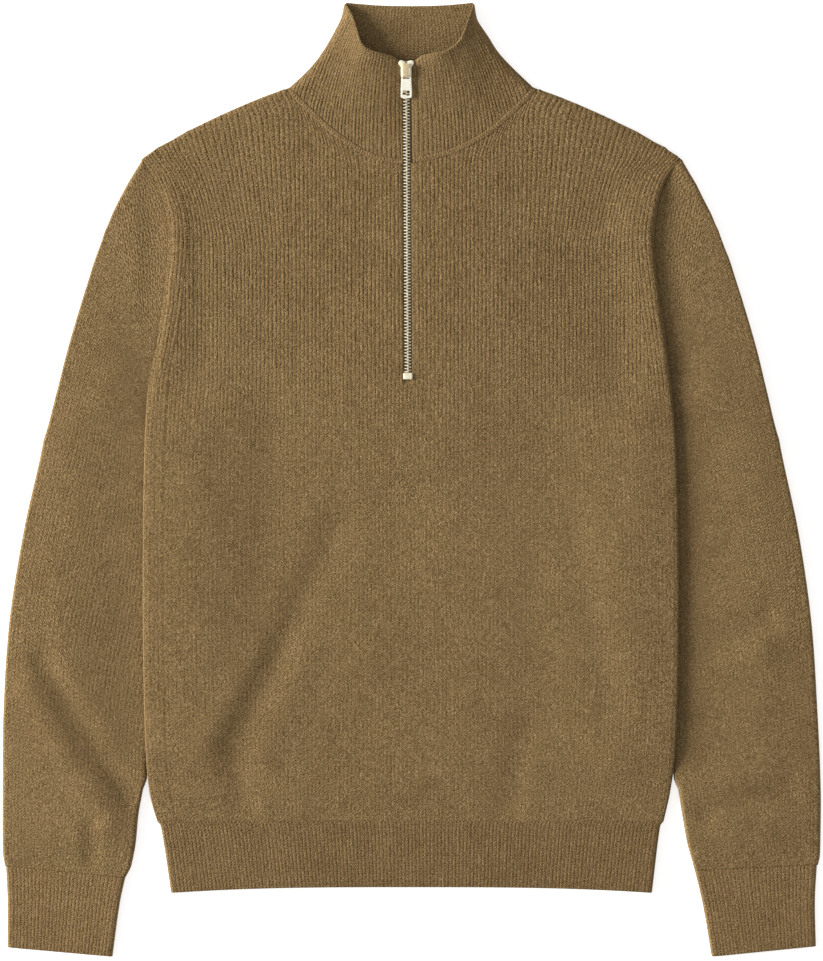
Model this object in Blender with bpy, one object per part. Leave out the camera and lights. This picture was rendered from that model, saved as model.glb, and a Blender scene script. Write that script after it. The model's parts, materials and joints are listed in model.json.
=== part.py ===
"""Quarter zip sweater in ribbed knit, laid flat with its front up.

Lengths are in millimetres and become metres when a mesh is made. +X is the wearer's left, +Y runs from the
hem to the collar and +Z is up from the surface that the sweater lies on. Each cloth piece is a closed wall:
a skin of outer points that carries the ribs, and a plain inner skin a wall's thickness below it.
"""

import math
from collections import namedtuple

import bpy
import bmesh

MM = 0.001
SIDES = {"right": -1, "left": 1}

# Cloth
WALL = 2.0
RIB_PITCH = 3.4
RIB_RISE = 0.8
SEAM_GAP = 0.3
LAYER_GAP = 0.3
EDGE_Z = 2 * WALL + LAYER_GAP
FOLD_Z = WALL + 0.2
FOLD_INSET = 2.0
UNDER_INSET = 2.8
MOST_AIR = 3.6
AIR_AT_FOLDS = 1.3
BODY_CROWN = 1.4
SLEEVE_CROWN = 1.9

# Body, from the hem seam to the shoulders
HALF_CHEST = 229.5
HEM_SEAM_Y = -293.5
SHOULDER_TIP_Y = 275.5
UNDERARM_LEVEL = 86.5
LAST_FLAT_LEVEL = -262
ROW_LEVELS = (HEM_SEAM_Y, LAST_FLAT_LEVEL, -225, -165, -100, -25, 50, UNDERARM_LEVEL, 142, 203, 243)
PLAIN_COLUMNS = 18
PLAIN_SHY = 1.6
SIDE_ROLL = 7.0
SHOULDER_ROLL = 6.0
SHOULDER_BLEND = 12.0
EDGE_COLUMN = 4
ARMHOLE_STRIP = 0.925
ARMHOLE_FADE = 0.33

# Body side lying on the inner strip of each sleeve
LIFT = EDGE_Z + LAYER_GAP
LIFT_RAMP = 20.0
LIFT_MARGIN = 8.0
LIFT_ROW = 65.0

# Neck
NECK_BAND = 5.0
NECK_BAND_RISE = 0.5
SHOULDER_NECK_X = 104.5
BACK_NECK_SAG = 16.0
BACK_COLLAR_SAG = 3.5
COLLAR_ROLL = 9.0
COLLAR_RISE_AT_ZIP = 4.0
COLLAR_RISE_MID = 6.0
COLLAR_RISE_BEND = 1.3
COLLAR_ROWS = 5
COLLAR_RIBS = 34
NECK_BAND_SPANS = 24
NECK_SEAM_STEPS = 24
BACK_COLUMNS = 12

# Hem and cuffs
HEM_HALF_END = 207.0
HEM_END_Y = -355.0
HEM_MID_Y = -350.0
HEM_AIR = 1.0
CUFF_AIR = 1.0
CUFF_RIBS = 31
SLEEVE_RIBS = 40
COVER_MARGIN = 10.0
COVER_FADE = 14.0
TUBE_UNDERSIDE = 8

# Zip
SLIT = 9.5
SLIT_FADE = 40.0
ZIP_X = -3.0
ZIP_DRIFT = -1.5 / 273
ZIP_BOTTOM_Y = 87.0
ZIP_TOP_Y = 361.0
TAPE_WIDTH = 24.0
TAPE_THICK = 0.8
CHAIN_WIDTH = 7.4
STOP_LENGTH = 5.5
STOP_WIDTH = 7.7
STOP_PROUD = 1.3

# Slider and pull tab
SLIDER_WIDTH = 13.0
SLIDER_TAIL = 9.0
SLIDER_LENGTH = 16.0
PLATE = 1.2
BRIDGE_WIDTH = 5.4
BRIDGE_LENGTH = 13.0
BRIDGE_THICK = 1.1
PULL_WIDTH = 9.5
PULL_LENGTH = 28.4
PULL_THICK = 1.5
PULL_BAR = 1.7
PULL_SLOT_WIDTH = 6.2
PULL_SLOT_LENGTH = 12.2
PULL_HOLE = (5.4, 3.9)
PULL_HOLE_TO_END = 4.2
PULL_TILT = math.radians(2.6)
PIVOT_CLEAR = 1.6

# Outline of the body from the shoulder tip down the armhole and the side: half widths at each height.
Edge = namedtuple("Edge", "y right left")
BODY_EDGE = [
    Edge(-293.5, 219.0, 217.0),
    Edge(-272.0, 225.0, 222.0),
    Edge(-247.0, 228.0, 226.0),
    Edge(-189.0, 230.0, 229.0),
    Edge(-103.0, 231.0, 230.0),
    Edge(-17.0, 230.5, 229.0),
    Edge(43.0, 229.0, 226.5),
    Edge(86.5, 226.0, 223.3),
    Edge(120.0, 219.5, 219.0),
    Edge(150.0, 214.5, 214.5),
    Edge(203.0, 209.5, 208.5),
    Edge(228.0, 210.8, 210.5),
    Edge(248.5, 216.5, 215.0),
    Edge(267.0, 225.0, 223.5),
    Edge(275.5, 232.5, 233.5),
]

# Outer fold of each sleeve, from the cuff seam up to the shoulder tip.
SLEEVE_OUTER = [
    Edge(-331.0, 347.5, 348.5),
    Edge(-313.0, 351.5, 351.5),
    Edge(-266.0, 351.5, 351.5),
    Edge(-197.5, 350.5, 348.0),
    Edge(-120.0, 345.5, 342.5),
    Edge(-42.5, 333.0, 331.5),
    Edge(35.0, 316.0, 316.0),
    Edge(112.0, 295.5, 296.5),
    Edge(189.5, 272.0, 273.0),
    Edge(242.5, 250.5, 250.0),
    Edge(275.5, 233.0, 234.0),
]

# Inner fold of each sleeve: it leaves the underarm, lies under the body's side and comes out near the hem.
SLEEVE_INNER = [
    Edge(-342.0, 246.5, 245.5),
    Edge(-333.0, 241.5, 243.0),
    Edge(-313.0, 237.5, 237.5),
    Edge(-287.0, 235.0, 233.0),
    Edge(-266.0, 231.2, 229.7),
    Edge(-250.5, 229.4, 227.4),
    Edge(-225.0, 229.8, 228.4),
    Edge(-200.0, 222.5, 221.5),
    Edge(-150.0, 212.0, 211.0),
    Edge(-90.0, 208.0, 207.0),
    Edge(-30.0, 211.0, 209.5),
    Edge(20.0, 220.0, 218.0),
    Edge(50.0, 230.5, 227.4),
    Edge(86.5, 227.0, 224.3),
]

# Rings of a sleeve: the heights where each one meets the outer and the inner fold.
Ring = namedtuple("Ring", "outer_y inner_y")
SLEEVE_RINGS = [
    Ring(225.0, 50.0),
    Ring(135.0, -25.0),
    Ring(35.0, -105.0),
    Ring(-75.0, -180.0),
    Ring(-180.0, -228.0),
    Ring(-290.0, -292.0),
]

# Cuff corners: seam and edge heights, and the inner fold's x.
Cuff = namedtuple("Cuff", "outer_x outer_y inner_x inner_y")
CUFFS = {
    "right": [
        Cuff(347.5, -332.0, 246.5, -342.0),
        Cuff(346.0, -362.0, 251.5, -366.0),
        Cuff(346.0, -402.0, 257.5, -410.0),
    ],
    "left": [
        Cuff(348.5, -331.0, 244.0, -336.0),
        Cuff(347.0, -362.0, 251.0, -366.0),
        Cuff(347.0, -401.0, 258.5, -410.0),
    ],
}

# Shoulder line, neck seam and collar edges of the two sides.
Spot = namedtuple("Spot", "x y")
SHOULDER = [
    Spot(104.5, 338.7),
    Spot(134.0, 327.0),
    Spot(165.0, 313.5),
    Spot(194.0, 299.5),
    Spot(219.0, 286.0),
    Spot(229.0, 279.0),
    Spot(233.5, 275.5),
]
NECK = {
    "right": [
        Spot(7.8, 276.5),
        Spot(33.0, 281.5),
        Spot(53.0, 293.0),
        Spot(70.0, 305.5),
        Spot(86.5, 321.0),
        Spot(104.5, 338.7),
    ],
    "left": [
        Spot(1.8, 278.0),
        Spot(21.0, 281.5),
        Spot(39.0, 287.5),
        Spot(65.0, 301.5),
        Spot(85.5, 319.5),
        Spot(104.5, 338.7),
    ],
}
COLLAR_TOP = {
    "right": [
        Spot(9.0, 363.0),
        Spot(23.0, 366.0),
        Spot(35.0, 369.5),
        Spot(42.0, 375.0),
        Spot(45.5, 387.0),
        Spot(48.5, 398.0),
        Spot(54.0, 409.6),
    ],
    "left": [
        Spot(0.6, 362.5),
        Spot(14.0, 366.0),
        Spot(30.5, 369.5),
        Spot(40.0, 377.5),
        Spot(44.5, 387.0),
        Spot(47.0, 396.0),
        Spot(50.5, 409.6),
    ],
}
COLLAR_SIDE = {
    "right": [
        Spot(104.5, 338.7),
        Spot(87.5, 355.0),
        Spot(77.0, 368.5),
        Spot(68.5, 382.5),
        Spot(61.5, 396.0),
        Spot(54.0, 409.6),
    ],
    "left": [
        Spot(104.5, 338.7),
        Spot(87.5, 355.0),
        Spot(75.0, 368.5),
        Spot(66.0, 382.5),
        Spot(57.0, 396.0),
        Spot(50.5, 409.6),
    ],
}

# Soft folds: a trough or, with a negative depth, a ridge between two places.
Crease = namedtuple("Crease", "x0 y0 x1 y1 width depth")
BODY_CREASES = [
    Crease(-182, 213, -182, 110, 13, 0.8),
    Crease(-124, 86, -124, -45, 14, 0.5),
    Crease(-68, -40, -110, -137, 17, 1.1),
    Crease(-110, -137, -152, -225, 17, 1.4),
    Crease(-152, -225, -145, -281, 15, 1.0),
    Crease(142, -45, 151, -103, 16, 0.7),
    Crease(151, -103, 173, -189, 16, 1.0),
    Crease(99, -212, 82, -286, 14, 0.8),
]
SLEEVE_CREASES = [
    Crease(-320, -154, -279, -217, 11, 1.5),
    Crease(-279, -217, -242, -272, 11, 1.5),
    Crease(-257, -92, -236, -126, 9, 0.8),
    Crease(-274, -292, -274, -326, 9, 0.6),
    Crease(242, -152, 306, -120, 11, 1.0),
    Crease(254, -286, 323, -264, 11, 1.0),
]


# ---------------------------------------------------------------- shape helpers


def ease(share):
    """0 to 1 with level ends."""
    share = min(1.0, max(0.0, share))
    return share * share * (3 - 2 * share)


def mix(first, second, share):
    return first + (second - first) * share


def roll(distance, radius):
    """Height share of a rounded edge at a distance from it."""
    share = min(1.0, max(0.0, distance / radius))
    return math.sqrt(1 - (1 - share) ** 2)


def smooth_between(before, first, second, after, share):
    """Catmull-Rom value between the middle two of four numbers."""
    lean_first = (second - before) / 2
    lean_second = (after - first) / 2
    cube = 2 * first - 2 * second + lean_first + lean_second
    square = -3 * first + 3 * second - 2 * lean_first - lean_second
    return ((cube * share + square) * share + lean_first) * share + first


def edge_at(rows, side, y):
    """Half width of an outline at a height."""
    y = min(rows[-1].y, max(rows[0].y, y))
    i = next(k for k in range(len(rows) - 1) if y <= rows[k + 1].y)
    first, second = rows[i], rows[i + 1]
    share = (y - first.y) / (second.y - first.y)
    ends = (getattr(first, side), getattr(second, side))
    before = getattr(rows[i - 1], side) if i else 2 * ends[0] - ends[1]
    after = getattr(rows[i + 2], side) if i + 2 < len(rows) else 2 * ends[1] - ends[0]
    return smooth_between(before, *ends, after, share)


def spot_along(spots, share):
    """Point at a share of the way along a smooth curve through the spots."""
    steps = [math.dist(a, b) for a, b in zip(spots, spots[1:])]
    left = min(1.0, max(0.0, share)) * sum(steps)
    i = 0
    while i < len(steps) - 1 and left > steps[i]:
        left -= steps[i]
        i += 1
    before = spots[i - 1] if i else spots[0]
    after = spots[i + 2] if i + 2 < len(spots) else spots[-1]
    around = zip(before, spots[i], spots[i + 1], after)
    return Spot(*(smooth_between(*values, left / steps[i]) for values in around))


def height_on(spots, x):
    """Height at which a line through spots that run outwards crosses an x; it is level before the first."""
    x = max(x, spots[0].x)
    for first, second in zip(spots, spots[1:]):
        if x <= second.x:
            return mix(first.y, second.y, (x - first.x) / (second.x - first.x))
    return spots[-1].y


def sunk(creases, x, y):
    """Depth of the soft folds at a place."""
    depth = 0.0
    for c in creases:
        run_x, run_y = c.x1 - c.x0, c.y1 - c.y0
        along = ((x - c.x0) * run_x + (y - c.y0) * run_y) / (run_x**2 + run_y**2)
        along = min(1.0, max(0.0, along))
        away = math.hypot(x - c.x0 - along * run_x, y - c.y0 - along * run_y)
        depth = max(depth, c.depth * math.exp(-((away / c.width) ** 2)))
    return depth


def side_of(x):
    return "right" if x < 0 else "left"


# ---------------------------------------------------------------- cloth walls

Column = namedtuple("Column", "station points")
Slit = namedtuple("Slit", "before after row")


def new_object(name, mesh, finish):
    """Puts a finished mesh in the scene with its material."""
    mesh.materials.append(finish)
    made = bpy.data.objects.new(name, mesh)
    bpy.context.scene.collection.objects.link(made)
    return made


def grid_faces(stations, grid, closed, slit):
    """Triangles over columns of vertices, left open along a slit."""
    faces = []
    for i in range(len(grid) if closed else len(grid) - 1):
        here, there = grid[i], grid[(i + 1) % len(grid)]
        for j in range(len(here) - 1):
            if slit and stations[i] == slit.before and j >= slit.row:
                continue
            faces.append((here[j], there[j], there[j + 1]))
            faces.append((here[j], there[j + 1], here[j + 1]))
    return faces


def rim_faces(fine, plain):
    """Triangles between two runs of (station, vertex) that start and end together."""
    faces = []
    i = j = 0
    while i < len(fine) - 1 or j < len(plain) - 1:
        on_fine = j == len(plain) - 1 or (i < len(fine) - 1 and fine[i + 1][0] <= plain[j + 1][0])
        if on_fine:
            faces.append((fine[i][1], fine[i + 1][1], plain[j][1]))
            i += 1
        else:
            faces.append((fine[i][1], plain[j + 1][1], plain[j][1]))
            j += 1
    return faces


def edge_faces(outer, inner, start):
    """Quads that close a wall along one column."""
    return [(outer[j], outer[j + 1], inner[j + 1], inner[j]) for j in range(start, len(outer) - 1)]


def end_runs(stations, grid, row, closed, slit):
    """Runs of (station, vertex) along the first or last row."""
    run = [(s, column[row]) for s, column in zip(stations, grid)]
    if closed:
        return [run + [(run[0][0] + 1, run[0][1])]]
    if slit and row:
        return [[r for r in run if r[0] <= slit.before], [r for r in run if r[0] >= slit.after]]
    return [run]


def cloth_wall(name, finish, outer, inner, closed=False, slit=None):
    """One closed body between an outer skin and a plain inner skin, given as columns of points."""
    points, grids, stations, faces = [], [], [], []
    for skin in (outer, inner):
        grid = []
        for column in skin:
            grid.append(range(len(points), len(points) + len(column.points)))
            points += column.points
        grids.append(grid)
        stations.append([column.station for column in skin])
        faces += grid_faces(stations[-1], grid, closed, slit)
    for row in (0, -1):
        runs = [end_runs(s, g, row, closed, slit) for s, g in zip(stations, grids)]
        for fine, plain in zip(*runs):
            faces += rim_faces(fine, plain)
    if not closed:
        faces += edge_faces(grids[0][0], grids[1][0], 0)
        faces += edge_faces(grids[0][-1], grids[1][-1], 0)
    if slit:
        pairs = [[g[s.index(at)] for s, g in zip(stations, grids)] for at in (slit.before, slit.after)]
        for skins in pairs:
            faces += edge_faces(*skins, slit.row)
        (a, b), (c, d) = pairs
        faces.append((a[slit.row], c[slit.row], d[slit.row], b[slit.row]))
    mesh = bpy.data.meshes.new(name)
    mesh.from_pydata([(x * MM, y * MM, z * MM) for x, y, z in points], [], faces)
    form = bmesh.new()
    form.from_mesh(mesh)
    bmesh.ops.recalc_face_normals(form, faces=form.faces)
    form.to_mesh(mesh)
    form.free()
    mesh.shade_smooth()
    mesh.set_sharp_from_angle(angle=math.radians(35))
    return new_object(name, mesh, finish)


# ---------------------------------------------------------------- body


BODY_RIBS = round(2 * HALF_CHEST / RIB_PITCH)
BODY_COLUMNS = 2 * BODY_RIBS
ZIP_COLUMN = round((1 + ZIP_X / HALF_CHEST) * BODY_RIBS - 0.5)
BODY_SLIT = Slit(ZIP_COLUMN, ZIP_COLUMN + 1, ROW_LEVELS.index(UNDERARM_LEVEL))
EVEN = {round(k * BODY_COLUMNS / PLAIN_COLUMNS) for k in range(PLAIN_COLUMNS + 1)}
PLAIN = sorted(EVEN | {ZIP_COLUMN, ZIP_COLUMN + 1, EDGE_COLUMN, BODY_COLUMNS - EDGE_COLUMN})


def zip_x(y):
    return ZIP_X + ZIP_DRIFT * (y - ZIP_BOTTOM_Y)


def share_across(column):
    """Place of a column across the body, from -1 to 1."""
    return column / BODY_RIBS - 1


def outline_x(across, y):
    """Inner columns are upright; the outer ones bend with the side and the armhole."""
    side = side_of(across)
    pull = ease((abs(across) - (ARMHOLE_STRIP - ARMHOLE_FADE)) / ARMHOLE_FADE)
    return SIDES[side] * (abs(across) * HALF_CHEST + pull * (edge_at(BODY_EDGE, side, y) - HALF_CHEST))


def past_neck_band(side):
    """Neckline of the body: the neck seam moved out by the linked band."""
    spots = [spot_along(NECK[side], k / NECK_SEAM_STEPS) for k in range(NECK_SEAM_STEPS + 1)]
    reach = NECK_BAND + 3 * SEAM_GAP
    out = []
    for k, spot in enumerate(spots):
        before, after = spots[max(0, k - 1)], spots[min(NECK_SEAM_STEPS, k + 1)]
        run = math.dist(before, after)
        aside = Spot((after.y - before.y) / run, (before.x - after.x) / run)
        out.append(Spot(spot.x + reach * aside.x, spot.y + reach * aside.y))
    return out


NECKLINE = {side: past_neck_band(side) for side in SIDES}


def front_top(x):
    """Upper edge of the front at an x: the neckline, then the shoulder."""
    side = side_of(x)
    if abs(x) < NECKLINE[side][-1].x:
        return height_on(NECKLINE[side], abs(x))
    return height_on(SHOULDER, abs(x))


def back_top(x):
    """Upper edge of the back at an x."""
    if abs(x) < NECKLINE["left"][-1].x:
        seam = SHOULDER[0].y - BACK_NECK_SAG * (1 - (x / SHOULDER_NECK_X) ** 2)
        return seam - NECK_BAND - 3 * SEAM_GAP
    return height_on(SHOULDER, abs(x))


def slit_shift(column, y):
    """How far a column moves aside to open the slit for the zip."""
    before = column <= ZIP_COLUMN
    edge = ZIP_COLUMN if before else ZIP_COLUMN + 1
    here, there = outline_x(share_across(column), y), outline_x(share_across(edge), y)
    target = zip_x(y) + (-SLIT / 2 if before else SLIT / 2)
    return (target - there) * ease(1 - abs(here - there) / SLIT_FADE)


def body_rows(column, top_of, with_slit):
    """Plan points up one column, each with its nominal level."""
    across = share_across(column)
    top = top_of(outline_x(across, SHOULDER_TIP_Y))
    stretch = (top - HEM_SEAM_Y) / (SHOULDER_TIP_Y - HEM_SEAM_Y)
    rows = [(HEM_SEAM_Y + (level - HEM_SEAM_Y) * stretch, level) for level in ROW_LEVELS]
    rows += [(top - SHOULDER_ROLL, SHOULDER_TIP_Y), (top, SHOULDER_TIP_Y)]
    points = []
    for y, level in rows:
        x = outline_x(across, min(y, SHOULDER_TIP_Y))
        if with_slit and level >= UNDERARM_LEVEL:
            x += slit_shift(column, y)
        points.append((x, y, level))
    return points


def lift(x, y, level):
    """Height of the body's underside where it lies on a sleeve's inner strip."""
    if not LAST_FLAT_LEVEL < level < UNDERARM_LEVEL:
        return 0.0
    side = side_of(x)
    sleeve_reach = min(edge_at(SLEEVE_INNER, side, y + step) for step in (-LIFT_ROW, 0, LIFT_ROW))
    covered_from = min(sleeve_reach, edge_at(BODY_EDGE, side, y)) - LIFT_MARGIN - LIFT_RAMP
    return LIFT * ease((abs(x) - covered_from) / LIFT_RAMP)


def body_air(x, y):
    """Air between the front and the back."""
    crown = 1 - min(1.0, abs(x) / HALF_CHEST) ** 3
    return min(MOST_AIR, max(LAYER_GAP, AIR_AT_FOLDS + BODY_CROWN * crown - sunk(BODY_CREASES, x, y)))


def front_z(x, y, level, top):
    """Outer face of the front without its ribs."""
    raised = lift(x, y, level)
    low, high = raised + EDGE_Z, raised + 2 * WALL + body_air(x, y)
    share = 1.0
    if level < UNDERARM_LEVEL:
        share = roll(edge_at(BODY_EDGE, side_of(x), y) - abs(x), SIDE_ROLL)
    if abs(x) > SHOULDER_NECK_X:
        blend = ease((abs(x) - SHOULDER_NECK_X) / SHOULDER_BLEND)
        share *= mix(1.0, roll(top - y, SHOULDER_ROLL), blend)
    return mix(low, high, share)


def rib(column, count):
    """Rise of a rib's crest on odd columns, with plain first and last columns."""
    return RIB_RISE if column % 2 and 0 < column < count else 0.0


def front_columns(columns, ribbed):
    """Columns of the front's outer skin, or of its inner skin, which stops just short of the neck."""
    made = []
    for column in columns:
        rows = body_rows(column, front_top, True)
        top = rows[-1][1]
        points = [[x, y, front_z(x, y, level, top)] for x, y, level in rows]
        if ribbed:
            plain_from = BODY_SLIT.row if column in BODY_SLIT[:2] else len(rows)
            for point in points[:plain_from]:
                point[2] += rib(column, BODY_COLUMNS)
        else:
            points[-1][1] -= PLAIN_SHY if abs(points[-1][0]) < SHOULDER_NECK_X + PLAIN_SHY else 0.0
            for point in points:
                point[2] -= WALL
        made.append(Column(column, points))
    return made


def make_front(finish):
    outer = front_columns(range(BODY_COLUMNS + 1), True)
    return cloth_wall("body_front", finish, outer, front_columns(PLAIN, False), slit=BODY_SLIT)


def make_back(finish):
    skins = []
    for height in (0.0, WALL):
        skin = []
        for column in PLAIN:
            rows = body_rows(column, back_top, False)
            skin.append(Column(column, [(x, y, lift(x, y, level) + height) for x, y, level in rows]))
        skins.append(skin)
    return cloth_wall("body_back", finish, *skins)


# ---------------------------------------------------------------- flattened tubes

Section = namedtuple("Section", "across height covered")


def tube_skins(sections, ribs):
    """Columns round a flattened tube: its ribbed top from one fold to the other, then its flat underside."""
    top_count = 2 * ribs
    plain_tops = sorted({round(k * top_count / TUBE_UNDERSIDE) for k in range(TUBE_UNDERSIDE + 1)})
    outer, inner = [], []
    for k in range(top_count + 1):
        share = k / top_count
        points = [top_point(s, share, rib(k, top_count)) for s in sections]
        outer.append(Column(0.5 * share, points))
    for k in plain_tops:
        share = k / top_count
        inner.append(Column(0.5 * share, [hollow_point(s, share) for s in sections]))
    for k in range(TUBE_UNDERSIDE + 1):
        share = 1 - k / TUBE_UNDERSIDE
        station = 0.5 + 0.5 * (k + 0.5) / (TUBE_UNDERSIDE + 1)
        outer.append(Column(station, [flat_point(s, share, 0.0, UNDER_INSET) for s in sections]))
        inner.append(Column(station, [flat_point(s, share, WALL, FOLD_INSET) for s in sections]))
    return outer, inner


def inset_share(section, share, inset):
    """The share kept an inset away from both folds."""
    width = math.dist(section.across(0.0), section.across(1.0))
    return mix(inset / width, 1 - inset / width, share)


def top_point(section, share, rise):
    x, y = section.across(share)
    first, last = section.across(0.0), section.across(1.0)
    inner_away = math.dist((x, y), last)
    near = min(math.dist((x, y), first), inner_away)
    cover = ease((section.covered + COVER_FADE - inner_away) / COVER_FADE) if section.covered else 0.0
    height = mix(section.height(x, y), EDGE_Z, cover)
    rounded = mix(FOLD_Z, height, roll(near, SHOULDER_ROLL))
    return x, y, rounded + rise * (1 - cover)


def flat_point(section, share, height, inset):
    return (*section.across(inset_share(section, share, inset)), height)


def hollow_point(section, share):
    """Underside of the tube's top layer."""
    at = inset_share(section, share, FOLD_INSET)
    x, y, z = top_point(section, at, 0.0)
    return x, y, max(WALL + LAYER_GAP, z - WALL)


def chord(first, last):
    return lambda share: (mix(first[0], last[0], share), mix(first[1], last[1], share))


# ---------------------------------------------------------------- sleeves, cuffs and hem


def armhole_path(side):
    """The body's armhole edge from the shoulder tip down to the underarm."""
    column = BODY_COLUMNS if side == "left" else 0
    rows = [(x, y) for x, y, level in body_rows(column, front_top, False) if level >= UNDERARM_LEVEL]
    path = [Spot(x + SIDES[side] * SEAM_GAP * 1.5, y) for x, y in reversed(rows)]
    path[-1] = Spot(path[-1].x + SIDES[side] * SEAM_GAP, path[-1].y)
    return path


def along_path(path):
    """Plan point at a share of the way along straight stretches."""
    steps = [math.dist(a, b) for a, b in zip(path, path[1:])]

    def at(share):
        left = share * sum(steps)
        for i, step in enumerate(steps):
            if left <= step or i == len(steps) - 1:
                return mix(path[i].x, path[i + 1].x, left / step), mix(path[i].y, path[i + 1].y, left / step)
            left -= step
        return path[-1]

    return at


def sleeve_height(side):
    """Outer face of a sleeve's top, highest along its middle."""

    def at(x, y):
        outer = edge_at(SLEEVE_OUTER, side, y)
        inner = min(edge_at(SLEEVE_INNER, side, y), edge_at(BODY_EDGE, side, y))
        place = min(1.0, max(0.0, (outer - abs(x)) / max(1.0, outer - inner)))
        air = AIR_AT_FOLDS + SLEEVE_CROWN * math.sin(math.pi * place) - sunk(SLEEVE_CREASES, x, y)
        return 2 * WALL + min(MOST_AIR, max(LAYER_GAP, air))

    return at


def covered_strip(side, first, last):
    """Length of a ring, from its inner end, that the body's side holds flat."""
    if last[1] <= LAST_FLAT_LEVEL:
        return 0.0
    tuck = max(0.0, edge_at(BODY_EDGE, side, last[1]) - abs(last[0]))
    return COVER_MARGIN + tuck * math.dist(first, last) / abs(first[0] - last[0])


def widest_near(sections, k):
    """The widest covered strip of a ring and its neighbours: it is flat before the body lies on it."""
    return max(s.covered for s in sections[max(1, k - 1) : k + 2]) if sections[k].covered else 0.0


def make_sleeve(side, finish):
    sign = SIDES[side]
    height = sleeve_height(side)
    sections = [Section(along_path(armhole_path(side)), height, 0.0)]
    for ring in SLEEVE_RINGS:
        first = (sign * edge_at(SLEEVE_OUTER, side, ring.outer_y), ring.outer_y)
        last = (sign * edge_at(SLEEVE_INNER, side, ring.inner_y), ring.inner_y)
        sections.append(Section(chord(first, last), height, covered_strip(side, first, last)))
    widths = [widest_near(sections, k) for k in range(len(sections))]
    sections = [s._replace(covered=width) for s, width in zip(sections, widths)]
    seam = CUFFS[side][0]
    corners = chord((sign * seam.outer_x, seam.outer_y), (sign * seam.inner_x, seam.inner_y))
    sections.append(Section(corners, height, 0.0))
    outer, inner = tube_skins(sections, SLEEVE_RIBS)
    return cloth_wall(f"sleeve_{side}", finish, outer, inner, closed=True)


def make_cuff(side, finish):
    sign = SIDES[side]
    sections = []
    for i, c in enumerate(CUFFS[side]):
        drop = SEAM_GAP * 1.2 if i == 0 else 0.0
        corners = chord((sign * c.outer_x, c.outer_y - drop), (sign * c.inner_x, c.inner_y - drop))
        sections.append(Section(corners, lambda x, y: 2 * WALL + CUFF_AIR, 0.0))
    outer, inner = tube_skins(sections, CUFF_RIBS)
    return cloth_wall(f"cuff_{side}", finish, outer, inner, closed=True)


def hem_section(y_end, y_mid, half_right, half_left):
    def across(share):
        x = mix(-half_right, half_left, share)
        return x, mix(y_mid, y_end, abs(2 * share - 1) ** 3)

    return Section(across, lambda x, y: 2 * WALL + HEM_AIR, 0.0)


def make_hem(finish):
    seam = HEM_SEAM_Y - SEAM_GAP
    top_edge = BODY_EDGE[0]
    sections = [
        hem_section(seam, seam, top_edge.right, top_edge.left),
        hem_section(HEM_END_Y, HEM_MID_Y, HEM_HALF_END, HEM_HALF_END),
    ]
    outer, inner = tube_skins(sections, BODY_RIBS)
    return cloth_wall("hem_band", finish, outer, inner, closed=True)


# ---------------------------------------------------------------- collar and neck band


def neck_z(x, y):
    return 2 * WALL + body_air(x, y)


def collar_spot(side, share, up, front):
    """Plan point of the collar: share 0 is at the zip or the back's middle, 1 at the side fold."""
    sign = SIDES[side]
    fold_low, fold_high = COLLAR_SIDE[side][0], COLLAR_SIDE[side][-1]
    if front:
        low, high = spot_along(NECK[side], share), spot_along(COLLAR_TOP[side], share)
    else:
        low = Spot(fold_low.x * share, fold_low.y - BACK_NECK_SAG * (1 - share**2))
        high = Spot(fold_high.x * share, fold_high.y - BACK_COLLAR_SAG * (1 - share**2))
    fold = spot_along(COLLAR_SIDE[side], up)
    bow_x = fold.x - mix(fold_low.x, fold_high.x, up)
    bow_y = fold.y - mix(fold_low.y, fold_high.y, up)
    pull = share**3
    return sign * (mix(low.x, high.x, up) + bow_x * pull), mix(low.y, high.y, up) + bow_y * pull


def collar_front_z(side, share, up):
    """Outer face of the collar's front, which stands a little off the back."""
    x, y = collar_spot(side, share, up, True)
    fold = collar_spot(side, 1.0, up, True)
    rise = COLLAR_RISE_AT_ZIP * (1 - share) + COLLAR_RISE_MID * math.sin(math.pi * share)
    plain = neck_z(*collar_spot(side, share, 0.0, True)) + rise * up**COLLAR_RISE_BEND
    return mix(FOLD_Z, plain, roll(math.dist((x, y), fold), COLLAR_ROLL))


def collar_run(spans):
    """(side, share, front) of each column from the zip round the back to the zip again."""
    half = BACK_COLUMNS // 2
    run = [("right", k / spans, True) for k in range(spans + 1)]
    run += [("right", 1 - k / half, False) for k in range(half)]
    run += [("left", k / half, False) for k in range(half + 1)]
    run += [("left", 1 - k / spans, True) for k in range(spans + 1)]
    return run


def station_of(side, share, front):
    """Order of a column round the neck, from 0 to 4."""
    if side == "right":
        return share if front else 2 - 0.95 * share
    return 4 - share if front else 2 + 0.95 * share


def inset_from_fold(side, share, up, front, inset):
    """The share kept an inset away from the side fold."""
    width = math.dist(collar_spot(side, 0.0, up, front), collar_spot(side, 1.0, up, front))
    return share * (1 - inset / width)


def band_skins(spans, ups, plain_ups, z_of, rise_of, spot_of):
    """Outer and inner columns of a band that runs round the neck, with the rows of each skin."""
    outer, inner = [], []
    for index, (side, share, front) in enumerate(collar_run(spans)):
        rise = rise_of(index, share) if front else 0.0
        points = []
        for up in ups:
            place = share if front else inset_from_fold(side, share, up, front, UNDER_INSET)
            z = z_of(side, place, up) + rise if front else 0.0
            points.append((*spot_of(side, place, up, front), z))
        outer.append(Column(station_of(side, share, front), points))
    for side, share, front in collar_run(BACK_COLUMNS // 2 + 1):
        points = []
        for up in plain_ups:
            place = inset_from_fold(side, share, up, front, FOLD_INSET)
            z = max(WALL + LAYER_GAP, z_of(side, place, up) - WALL) if front else WALL
            points.append((*spot_of(side, place, up, front), z))
        inner.append(Column(station_of(side, share, front), points))
    return outer, inner


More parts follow.
